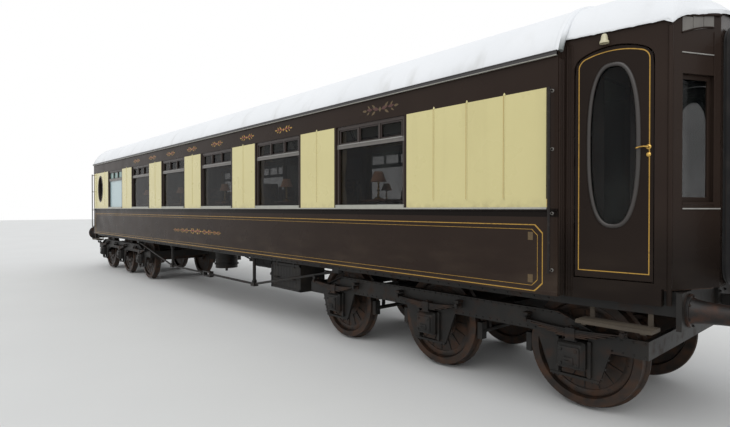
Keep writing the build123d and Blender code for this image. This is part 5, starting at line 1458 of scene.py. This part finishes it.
for x in TANK_STRAPS:
    place = Matrix.Translation((x, TANK_Y, TANK_Z)) @ Matrix.Rotation(pi / 2, 4, "Y")
    drum_bands.turn(TANK_STRAP, place, 40)
for end in (1, -1):
    place = Matrix.Translation((end * TANK_HALF, TANK_Y, TANK_Z))
    drum_bands.turn(TANK_END, place @ Matrix.Rotation(end * pi / 2, 4, "Y"), 40)
repeat("brake_drum_bolts", bolt, drum_bolts, iron, "coach")
drum_bands.make("brake_drum_bands", iron, "coach", "black_iron", smooth=40)

# Bogie frames
# Plate sides with an angle along the top edge, riveted all round, and a stay bolted across the
# horns under each axlebox.
BOGIES = {"a": 5.95, "b": -5.95}
AXLES = (-1.753, 0.0, 1.753)
AXLE_Z, FRAME_FACE, PLATE_STEP = 0.5615, 0.99, 0.085
PLATE_LINE = (
    # distance from the bogie's centre, height, along the top and bottom edges of a plate side
    (
        (-2.365, 0.766), (-1.983, 0.766), (-1.612, 0.915),
        (1.612, 0.915), (1.983, 0.766), (2.365, 0.766),
    ),
    ((-1.363, 0.738), (-0.395, 0.738)),
    ((0.395, 0.738), (1.363, 0.738)),
    ((-2.365, 0.655), (-2.095, 0.655), (-2.01, 0.385)),
    ((2.365, 0.655), (2.095, 0.655), (2.01, 0.385)),
)
TOP_ANGLE = ((-1.99, 0.79), (-1.62, 0.94), (1.62, 0.94), (1.99, 0.79))
ANGLE_SECTION = rectangle((FRAME_FACE - 0.002, FRAME_FACE + 0.045), (-0.009, 0.0))
STAY_LOW, BEAM_X, BEAM_TOP = 0.334, 0.876, 0.9
dress(iron, "bogie_frame_a", "bogie_frame_b", "brake_gear_a", "brake_gear_b")
for name, centre in BOGIES.items():
    rivets, angles, stay_bolts = [], Shape(), []
    for side in SIDES.values():
        outward = (-side * pi / 2, 0, 0)
        for line in PLATE_LINE:
            for start, stop in zip(line, line[1:]):
                count = round(math.dist(start, stop) / PLATE_STEP)
                xs, zs = [spaced(a, b, count) for a, b in zip(start, stop)]
                for x, z in zip(xs, zs):
                    spot = (centre + x, side * FRAME_FACE, z)
                    rivets.append((spot, outward, (0.85, 0.85, 0.85)))
        for ends in zip(TOP_ANGLE, TOP_ANGLE[1:]):
            angles.rows(
                [[(centre + x, side * y, z + rise) for y, rise in ANGLE_SECTION] for x, z in ends]
            )
        for axle in AXLES:
            x = centre + axle
            angles.box(about(x, 0.23), (side * 0.955, side * 0.997), (STAY_LOW, 0.358))
            for offset in (-0.205, -0.16, 0.16, 0.205):
                spot = (x + offset, side * 0.976, STAY_LOW)
                stay_bolts.append((spot, (pi, 0, 0), (0.8, 0.8, 1)))
            # Horn cheeks beside the box
            cheek = (side * FRAME_FACE, side * (FRAME_FACE + 0.03))
            for edge in (-1, 1):
                angles.box((x + edge * 0.136, x + edge * 0.166), cheek, (0.37, 0.70))
    for beam in (centre - BEAM_X, centre + BEAM_X):
        for y in (-0.7, -0.35, 0, 0.35, 0.7):
            rivets += [((x, y, BEAM_TOP), AS_MADE, FULL_SIZE) for x in about(beam, 0.08)]
    repeat(f"bogie_rivets_{name}", rivet, rivets, iron, f"bogie_{name}")
    repeat(f"bogie_stay_bolts_{name}", bolt, stay_bolts, iron, f"bogie_{name}")
    angles.make(f"bogie_angles_{name}", iron, f"bogie_{name}", "black_iron", bevel=0.001)

# Axleboxes and springs
# Cast boxes with a bolted cover and a hinged oil lid, each under a laminated spring of five
# leaves, gathered in a buckle and hung from the frame by pins.
LEAVES = (0.47, 0.40, 0.32, 0.24, 0.15)
LEAF_GAUGE, LEAF_STEPS, SPRING_Z, CAMBER_RADIUS, PIN_X = 0.015, 16, 0.7865, 3.7, 0.455
CASTING = (
    # half width, distance out from the middle of the coach
    (0.13, 0.94), (0.13, 1.05), (0.124, 1.058), (0.118, 1.085), (0.108, 1.098),
)
COVER = ((0.098, 1.097), (0.098, 1.108), (0.088, 1.114))
LID_HALF, LID = 0.05, ((0.05, 1.113), (0.05, 1.122), (0.04, 1.129), (0.02, 1.131))
spring_steel = Finish("spring_steel", Metallic=0.2, Specular_IOR_Level=0.3)
spring_rust = spring_steel.noise(11, 5, (0.3, 1, 1)).ramp(0.4, 0.8)
spring_steel.wear(Base_Color=spring_steel.mix(spring_rust * 0.6, rgb(26, 24, 23), rgb(80, 56, 40)))
spring_steel.wear(Roughness=spring_rust * 0.2 + 0.5)


def box_row(half, low, high, y, corner):
    """A rounded square across an axlebox at a distance out from the middle of the coach."""
    return [(a, y, b) for a, b in rounded(half, AXLE_Z + low, AXLE_Z + high, corner, 4)]


box_casting = Shape()
box_casting.rows([box_row(half, -half, half, y, 0.03) for half, y in CASTING])
box_casting.rows([box_row(half, -half * 1.05, half * 0.82, y, 0.02) for half, y in COVER])
lid_rows = []
for half, y in LID:
    drawn_in = LID_HALF - half
    lid_rows.append(box_row(half, drawn_in - 0.08, -0.01 - drawn_in * 0.5, y, 0.015))
box_casting.rows(lid_rows)
out = Matrix.Rotation(-pi / 2, 4, "X")
for x in (-0.072, 0.072):
    for z in (-0.075, 0.055):
        place = Matrix.Translation((x, 1.112, AXLE_Z + z)) @ out
        box_casting.turn([(0, 0.014), (0.010, 0.014), (0.012, 0.011)], place, 6)
spring = Shape()
for number, half in enumerate(LEAVES):
    rows = []
    for share in spaced(-1, 1, LEAF_STEPS):
        x = half * share
        low = SPRING_Z - LEAF_GAUGE * number + x**2 / (2 * CAMBER_RADIUS)
        # A leaf tapers over the last fifth of its half.
        slim = 0.006 * max(0, abs(share) - 0.8) * 5
        foot, top = low + 0.0008, low + LEAF_GAUGE - 0.0012 - slim
        rows.append([(x, 1.0, foot), (x, 1.0, top), (x, 1.07, top), (x, 1.07, foot)])
    spring.rows(rows)
spring.box((-0.045, 0.045), (0.992, 1.078), (0.6925, 0.8115))
spring.box((-0.06, 0.06), (0.996, 1.074), (0.6905, 0.704))
nut_place = Matrix.Translation((0, 1.035, 0))
spring.turn([(0.8115, 0.018), (0.826, 0.018), (0.830, 0.012)], nut_place, 6)
for x in (-PIN_X, PIN_X):
    pin = [(0, 0.017), (0.086, 0.017), (0.088, 0.021), (0.100, 0.021), (0.102, 0.012)]
    spring.turn(pin, Matrix.Translation((x, 0.99, 0.829)) @ out, 12)
    for y in (0.994, 1.070):
        spring.box(about(x, 0.018), (y, y + 0.008), (0.794, 0.872))
    spring.box(about(x, 0.03), (0.985, 1.080), (0.862, 0.886))
for name, centre in BOGIES.items():
    spots = []
    for axle in AXLES:
        spots += [((centre + axle, 0, 0), (0, 0, turn), FULL_SIZE) for turn in (0, pi)]
    box_name, body = f"axlebox_castings_{name}", f"bogie_{name}"
    castings = repeat(box_name, box_casting, spots, iron, body)
    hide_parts(f"axleboxes_{name}")
    repeat(f"springs_{name}", spring, spots, spring_steel, body)

# Wheels
# Steel tyres on discs built of sixteen wooden segments, which are bolted through a ring beside
# the tyre and through the hub's plate. Brake dust browns them all.
SEGMENTS, DISC_Y, OUTER_BOLTS, INNER_BOLTS = 16, 0.762, (0.405, 0.8), (0.19, 0.7)
RINGS = (
    # distance from the middle of the coach, radius: the tyre's retaining ring and the hub's plate
    (
        (0.758, 0.440), (0.772, 0.438), (0.774, 0.430),
        (0.774, 0.384), (0.770, 0.379), (0.758, 0.378),
    ),
    ((0.752, 0.222), (0.766, 0.219), (0.769, 0.212), (0.769, 0.150), (0.752, 0.150)),
)
wheel_steel = Finish("wheel_steel", Metallic=0.4, Specular_IOR_Level=0.4)
brown = wheel_steel.noise(9, 5).ramp(0.35, 0.75)
wheel_steel.wear(Base_Color=wheel_steel.mix(brown, rgb(44, 38, 34), rgb(74, 52, 38)))
wheel_steel.wear(Roughness=brown * 0.3 + 0.4)
joint_strip = Shape().box((0.2, 0.4), (-0.006, 0.006), (-0.003, 0.003))
for name, centre in BOGIES.items():
    for number, axle in enumerate(AXLES, 1):
        body, x = f"axle_{name}{number}", centre + axle
        dress(wheel_steel, f"wheelset_{name}{number}")
        joints, bolt_spots, rims = [], [], Shape()
        for side in SIDES.values():
            for i, a in enumerate(bearings(SEGMENTS)):
                joints.append(((x, side * DISC_Y, AXLE_Z), (0, a, 0), FULL_SIZE))
                a += pi / SEGMENTS
                # The hub's plate has a bolt in every second segment.
                for radius, size in (OUTER_BOLTS, INNER_BOLTS) if i % 2 else (OUTER_BOLTS,):
                    across, up = x + radius * cos(a), AXLE_Z - radius * sin(a)
                    spot = (across, side * (DISC_Y + 0.001), up)
                    bolt_spots.append((spot, (-side * pi / 2, 0, 0), (size, size, size)))
            place = outwards(x, 0, AXLE_Z, side)
            for profile in RINGS:
                rows = []
                for z, r in profile:
                    rows.append([place @ Vector((r * cos(a), r * sin(a), z)) for a in bearings(48)])
                rims.rows(rows, loop=True)
        repeat(f"wheel_segments_{name}{number}", joint_strip, joints, iron, body)
        repeat(f"wheel_bolts_{name}{number}", bolt, bolt_spots, wheel_steel, body)
        rims.make(f"wheel_rings_{name}{number}", wheel_steel, body, "wheel_steel", smooth=40)

# Floor and ceiling
# Boards under a runner of woven carpet, and a ceiling of painted sheets between polished ribs,
# with a cornice, a rail and a skirting of the same wood along each side.
CARPET_X, CARPET_HALF, CARPET_STEPS = (-4.35, 6.22), 0.31, 120
SALOON = (-4.38, 6.24)
boards_finish = Finish("floor_boards").rough(0.5, 0.15, 30)
boards_tone = boards_finish.noise(20, 5, (0.1, 1, 1))
boards_tone = boards_finish.mix(boards_tone, rgb(66, 44, 30), rgb(92, 64, 44))
floor_end = abs(boards_finish.x) > HALF_BODY - 0.001
floor_end = floor_end * (abs(boards_finish.x) < HALF_BODY + 0.001)
boards_finish.wear(Base_Color=boards_finish.mix(floor_end, boards_tone, rgb(34, 27, 24)))
dress(boards_finish, "floor")
carpet_finish = Finish("carpet", Sheen_Weight=0.3).rough(0.85, 0.1, 90)
carpet_finish.mottle(rgb(86, 30, 34), rgb(112, 46, 44), 220, 2)
carpet_finish.bump(carpet_finish.noise(300, 2), 0.002)
runner, rows = Shape(), []
for x in spaced(*CARPET_X, CARPET_STEPS):
    over = [(x, CARPET_HALF * t, 0.006 + 0.0006 * sin(x * 9 + t)) for t in spaced(-1, 1, 4)]
    under = [(x, CARPET_HALF * t, 0.001) for t in spaced(1, -1, 4)]
    rows.append([(a, b, FLOOR_TOP + c) for a, b, c in over + under])
carpet_piece = runner.rows(rows).make("carpet", carpet_finish, "coach", "chair_cloth")
ceiling_paint = Finish("ceiling_paint", Roughness=0.5)
ceiling_paint.mottle(rgb(206, 198, 170), rgb(218, 211, 186), 2, 4)
ceiling = Shape().drawn(roof_shell(-0.0455, 0.0045), spaced(-7.64, 7.64, 16))
ceiling.make("ceiling", ceiling_paint, "coach", "cream_paint", smooth=40)
veneer_trim = Finish("veneer_trim", Coat_Weight=0.4).rough(0.25, 0.1, 9)
veneer_trim.wear(Base_Color=veneer(veneer_trim, (0.3, 1, 1)))
trim = Shape()
for x in [(a + b) / 2 for a, b in zip(WINDOWS, WINDOWS[1:])] + [6.2, -4.35]:
    trim.drawn(roof_shell(-0.050, 0.025), about(x, 0.03))
for side in SIDES.values():
    for low, high, proud in (
        (EAVE - 0.03, EAVE + 0.03, 0.035),
        (FLOOR_TOP, FLOOR_TOP + 0.12, 0.022),
        (WAIST - 0.045, WAIST - 0.022, 0.028),
    ):
        trim.box(SALOON, (side * INSIDE, side * (INSIDE - proud)), (low, high))
trim.make("ceiling_ribs", veneer_trim, "coach", "inner_wood", bevel=0.003)

# Panelling and tables
# Fielded panels of polished mahogany under and between the windows, with partitions to match, and
# tables of the same wood, each set against the side and standing on a turned leg.
SEATING = WINDOWS[:5]
TABLE_HIGH, TABLE_THICK = FLOOR_TOP + 0.7, 0.03
TABLE_LEG = (
    # height over the floor, radius
    (0.0, 0.075), (0.02, 0.078), (0.04, 0.05), (0.08, 0.026), (0.30, 0.022), (0.34, 0.034),
    (0.38, 0.022), (0.60, 0.027), (0.68, 0.04), (0.70, 0.06),
)
PIERS = [(a + b) / 2 for a, b in zip(SEATING, SEATING[1:])]
FIELDED = (
    # places along the side, half width, foot, head, and the margin round the raised field
    (SEATING, 0.52, FLOOR_TOP + 0.17, WAIST - 0.09, 0.06),
    (PIERS, 0.24, WAIST + 0.06, WAIST + 1.04, 0.05),
)
inside_wood = Finish("inside_wood", Coat_Weight=0.4).rough(0.25, 0.1, 9)
inside_wood.wear(Base_Color=veneer(inside_wood, (1, 1, 0.25)))
bulkhead_wood = Finish("bulkhead_wood", Coat_Weight=0.2).rough(0.28, 0.1, 9)
shows_outside = abs(bulkhead_wood.x) > HALF_BODY - 0.001
shows_outside = shows_outside * (abs(bulkhead_wood.y) > START_Y - 0.03)
veneered = veneer(bulkhead_wood, (1, 1, 0.25))
bulkhead_tone = bulkhead_wood.mix(shows_outside, veneered, umber_paint(bulkhead_wood))
bulkhead_wood.wear(Base_Color=bulkhead_tone)
dress(bulkhead_wood, "bulkheads")
panelling, table_tops = Shape(), Shape()
for side in SIDES.values():
    for places, half, foot, head, margin in FIELDED:
        for x in places:
            for inset, proud in ((0, 0.012), (margin, 0.019)):
                faces = (side * INSIDE, side * (INSIDE - proud))
                panelling.box(about(x, half - inset), faces, (foot + inset, head - inset))
    for x in SEATING:
        top = [(x + a, side * b) for a, b in rounded(0.23, 0.70, INSIDE - 0.006, 0.05, 5)]
        table_tops.plate(top, (TABLE_HIGH, TABLE_HIGH + TABLE_THICK))
        table_tops.turn(TABLE_LEG, Matrix.Translation((x, side * 0.8, FLOOR_TOP)), 20)
panelling.make("panelling", inside_wood, "coach", "inner_wood", bevel=0.004)
tables = table_tops.make("table_tops", veneer_trim, "coach", "inner_wood", bevel=0.005)
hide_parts("tables")

# Table lamps and racks
# Turned brass columns under pleated silk shades, made fast to the tables, and brass racks over the
# windows, each a shelf of thin rods that dip in the middle.
COLUMN = (
    # height over the table, radius
    (0, 0.06), (0.012, 0.06), (0.018, 0.05), (0.024, 0.03), (0.04, 0.014), (0.10, 0.012),
    (0.115, 0.022), (0.13, 0.012), (0.20, 0.011), (0.225, 0.018), (0.24, 0.008),
)
SHADE = [(0.226, 0.098), (0.23, 0.0985), (0.29, 0.076), (0.350, 0.055), (0.354, 0.054)]
SHADE_PLEATS, PLEAT_PROUD, SILK_THICK = 72, 0.0022, 0.002
SLAT = ((0, INSIDE - 0.245, 0), (0, INSIDE - 0.15, -0.012), (0, INSIDE - 0.06, 0))
RACK_Z, RACK_HALF, RACK_RODS = WAIST + 1.19, 0.54, 19
shade_silk = Finish("lamp_shade", Sheen_Weight=0.2).rough(0.75, 0.1, 90)
shade_silk.mottle(rgb(216, 158, 120), rgb(228, 176, 140), 60, 3)
column, shade, slat = Shape().turn(COLUMN, Matrix(), 20), Shape(), Shape().tube(SLAT, 0.003, 6)
rows = []
for line, inset in ((SHADE, 0), (SHADE[::-1], SILK_THICK)):
    for z, r in line:
        reaches = [r - inset + PLEAT_PROUD * (i % 2) for i in range(SHADE_PLEATS)]
        turns = bearings(SHADE_PLEATS)
        rows.append([(reach * cos(a), reach * sin(a), z) for reach, a in zip(reaches, turns)])
shade.rows(rows, loop=True)
lamp_spots = []
for x in SEATING:
    for side in SIDES.values():
        lamp_spots.append(((x, side * 1.12, TABLE_HIGH + TABLE_THICK), AS_MADE, FULL_SIZE))
columns = repeat("lamp_columns", column, lamp_spots, brass, "coach")
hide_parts("table_lamps")
repeat("lamp_shades", shade, lamp_spots, shade_silk, "coach", smooth=20)
dress(brass, "luggage_racks")
slats = []
for x in SEATING:
    for across in spaced(x - RACK_HALF, x + RACK_HALF, RACK_RODS - 1):
        slats += [((across, 0, RACK_Z), (0, 0, turn), FULL_SIZE) for turn in (0, pi)]
repeat("rack_rods", slat, slats, brass, "coach")

# Curtains
# Heavy cloth hung in close pleats at both edges of each of the saloon's windows, and drawn in a
# little at about a third of its height.
CURTAIN_WIDE, CURTAIN_LOW, CURTAIN_HIGH, PLEATS = 0.15, WAIST - 0.02, WAIST + 1.08, 5
CURTAIN_ROWS, CURTAIN_STEPS, CURTAIN_THICK, CUT_ROW = 22, 60, 0.0016, 20
GATHER, GATHER_AT, GATHER_REACH = 0.34, 0.36, 0.16
curtain_cloth = Finish("curtain_cloth", Sheen_Weight=0.3).rough(0.8, 0.1, 40)
weave = curtain_cloth.noise(180, 2)
weave_tone = weave * 0.5 + curtain_cloth.noise(4) * 0.5
curtain_cloth.wear(Base_Color=curtain_cloth.mix(weave_tone, rgb(140, 116, 76), rgb(178, 152, 108)))
curtain_cloth.bump(weave, 0.001)
first = True
for side_name, side in SIDES.items():
    for bay, x in enumerate(SEATING, 1):
        for edge_name, edge in (("near", 1), ("far", -1)):
            middle = x + edge * (WINDOW_HALF + 0.04 - CURTAIN_WIDE / 2)
            front, rows = [], []
            for t in spaced(0, 1, CURTAIN_ROWS):
                z = CURTAIN_LOW + (CURTAIN_HIGH - CURTAIN_LOW) * t
                pinch = GATHER * math.exp(-(((t - GATHER_AT) / GATHER_REACH) ** 2))
                row = []
                for s in spaced(-1, 1, CURTAIN_STEPS):
                    fold = sin(s * pi * PLEATS + 0.6 * sin(3 * t + bay)) * (0.0135 - 0.004 * t)
                    across = CURTAIN_WIDE / 2 * (s * (1 - pinch) + pinch)
                    row.append((middle + edge * across, side * (INSIDE - 0.024 + fold), z))
                front.append(row)
                back = [(a, b - side * CURTAIN_THICK, c) for a, b, c in reversed(row)]
                rows.append(row + back)
            curtain_name = f"curtain_{side_name}_{bay}_{edge_name}"
            hanging = Shape().rows(rows)
            curtain = hanging.make(curtain_name, curtain_cloth, "coach", "curtain_cloth", smooth=70)
            # The way along the cloth's pleats near the top.
            cut = sum(math.dist(a, b) for a, b in zip(front[CUT_ROW], front[CUT_ROW][1:]))
            if first:
                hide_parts("curtains")
                first = False

# Armchairs
# Upholstered wing chairs in facing pairs at each table: a low wooden base, a crowned seat cushion,
# a sprung back, rolled arms and wings. The cushions are blown up once as cloth and then repeated.
PUFF_FRAMES, CHAIR_APART, CHAIR_Y = 20, 0.7, 0.9
SEAT_FILL, ARM_FILL = 0.7, 0.8
BACK_LINE = ((-0.135, 0.46), (-0.215, 1.035), (-0.245, 1.075), (-0.295, 1.055), (-0.245, 0.46))
ARM_Y, ARM_MIDDLE_Z = 0.233, 0.46
ARM_SECTIONS = (
    # distance forward, size against the middle's
    (-0.235, 0.9), (-0.22, 1.0), (0.0, 1.02), (0.235, 1.0), (0.258, 0.94), (0.268, 0.7),
)
WING = ((-0.255, 0.60), (-0.13, 0.60), (-0.125, 0.72), (-0.16, 0.92), (-0.2, 1.0), (-0.255, 1.01))
WING_MIDDLE, WING_SHIFT = (-0.19, 0.8), 0.018
WING_SECTIONS = ((-0.022, 0.92), (-0.016, 1.0), (0.016, 1.0), (0.022, 0.92))
chair_cloth = Finish("chair_cloth", Sheen_Weight=0.3).rough(0.8, 0.1, 40)
figure = chair_cloth.noise(26, 3).ramp(0.42, 0.58)
chair_cloth.wear(Base_Color=chair_cloth.mix(figure, rgb(98, 54, 38), rgb(140, 98, 66)))
chair_cloth.bump(chair_cloth.noise(400, 2), 0.0012)


def stuffed(name, shape, voxel=0.016, swell=0.018):
    """A closed shape blown up as cloth, its points moved by the swell at most, for a cushion."""
    pad = put_in_scene(name, shape.mesh(name))
    remesh = pad.modifiers.new("remesh", "REMESH")
    remesh.mode = "VOXEL"
    remesh.voxel_size = voxel
    depsgraph = bpy.context.evaluated_depsgraph_get()
    even = bpy.data.meshes.new_from_object(pad.evaluated_get(depsgraph))
    pad.modifiers.clear()
    pad.data = even
    rest = [vertex.co.copy() for vertex in even.vertices]
    cloth_sim = pad.modifiers.new("cloth", "CLOTH")
    cloth_sim.settings.use_pressure = True
    cloth_sim.settings.uniform_pressure_force = 4
    cloth_sim.settings.effector_weights.gravity = 0
    cloth_sim.settings.quality = 5
    for number in range(1, PUFF_FRAMES + 1):
        bpy.context.scene.frame_set(number)
    depsgraph = bpy.context.evaluated_depsgraph_get()
    blown = pad.evaluated_get(depsgraph).to_mesh()
    moved = [vertex.co.copy() for vertex in blown.vertices]
    bpy.context.scene.frame_set(1)
    pad.modifiers.clear()
    result = Shape()
    for start, end in zip(rest, moved):
        step = end - start
        result.corners.append(start + step * min(1, swell / max(step.length, 1e-6)))
    result.faces = [tuple(face.vertices) for face in even.polygons]
    bpy.data.objects.remove(pad)
    return result


seat_core = Shape().box((-0.10, 0.262), (-0.168, 0.168), (0.335, 0.425))
back_core = Shape().rows([[(x, y, z) for x, z in BACK_LINE] for y in (-0.212, -0.1, 0.1, 0.212)])
seat_pad, back_pad = stuffed("seat_pad", seat_core), stuffed("back_pad", back_core)
base, arms = Shape(), Shape()
base.box((-0.25, 0.262), (-0.262, 0.262), (0.09, 0.325))
base.box((-0.235, 0.245), (-0.245, 0.245), (0.325, 0.345))
for x in (-0.23, 0.24):
    for y in (-0.24, 0.24):
        foot = Matrix.Translation((x, y, 0))
        base.turn([(0.0, 0.018), (0.05, 0.026), (0.09, 0.03)], foot, 12)
arm_outline = rounded(0.042, 0.32 - ARM_MIDDLE_Z, 0.612 - ARM_MIDDLE_Z, 0.04, 5)
for side in (-1, 1):
    rows = []
    for x, size in ARM_SECTIONS:
        taller, y = 0.98 + 0.02 * size, side * ARM_Y
        rows.append([(x, y + a * size, ARM_MIDDLE_Z + b * taller) for a, b in arm_outline])
    arms.rows(rows)
    rows = []
    for depth, size in WING_SECTIONS:
        y, (x, z) = side * (ARM_Y + WING_SHIFT) + depth, WING_MIDDLE
        rows.append([(x + (a - x) * size, y, z + (b - z) * size) for a, b in WING])
    arms.rows(rows)
soft_units = (
    ("seats", seat_pad, SEAT_FILL), ("backs", back_pad, SEAT_FILL), ("arms", arms, ARM_FILL),
)
for side_name, side in SIDES.items():
    spots = []
    for x in SEATING:
        for apart, turn in ((-CHAIR_APART, 0), (CHAIR_APART, pi)):
            spots.append(((x + apart, side * CHAIR_Y, FLOOR_TOP), (0, 0, turn), FULL_SIZE))
    base_name = f"chair_bases_{side_name}"
    frame_piece = repeat(base_name, base, spots, inside_wood, "coach")
    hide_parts(f"armchairs_{side_name}")
    for part_name, unit, fill in soft_units:
        pad_name = f"chair_{part_name}_{side_name}"
        made = repeat(pad_name, unit, spots, chair_cloth, "coach", smooth=60)
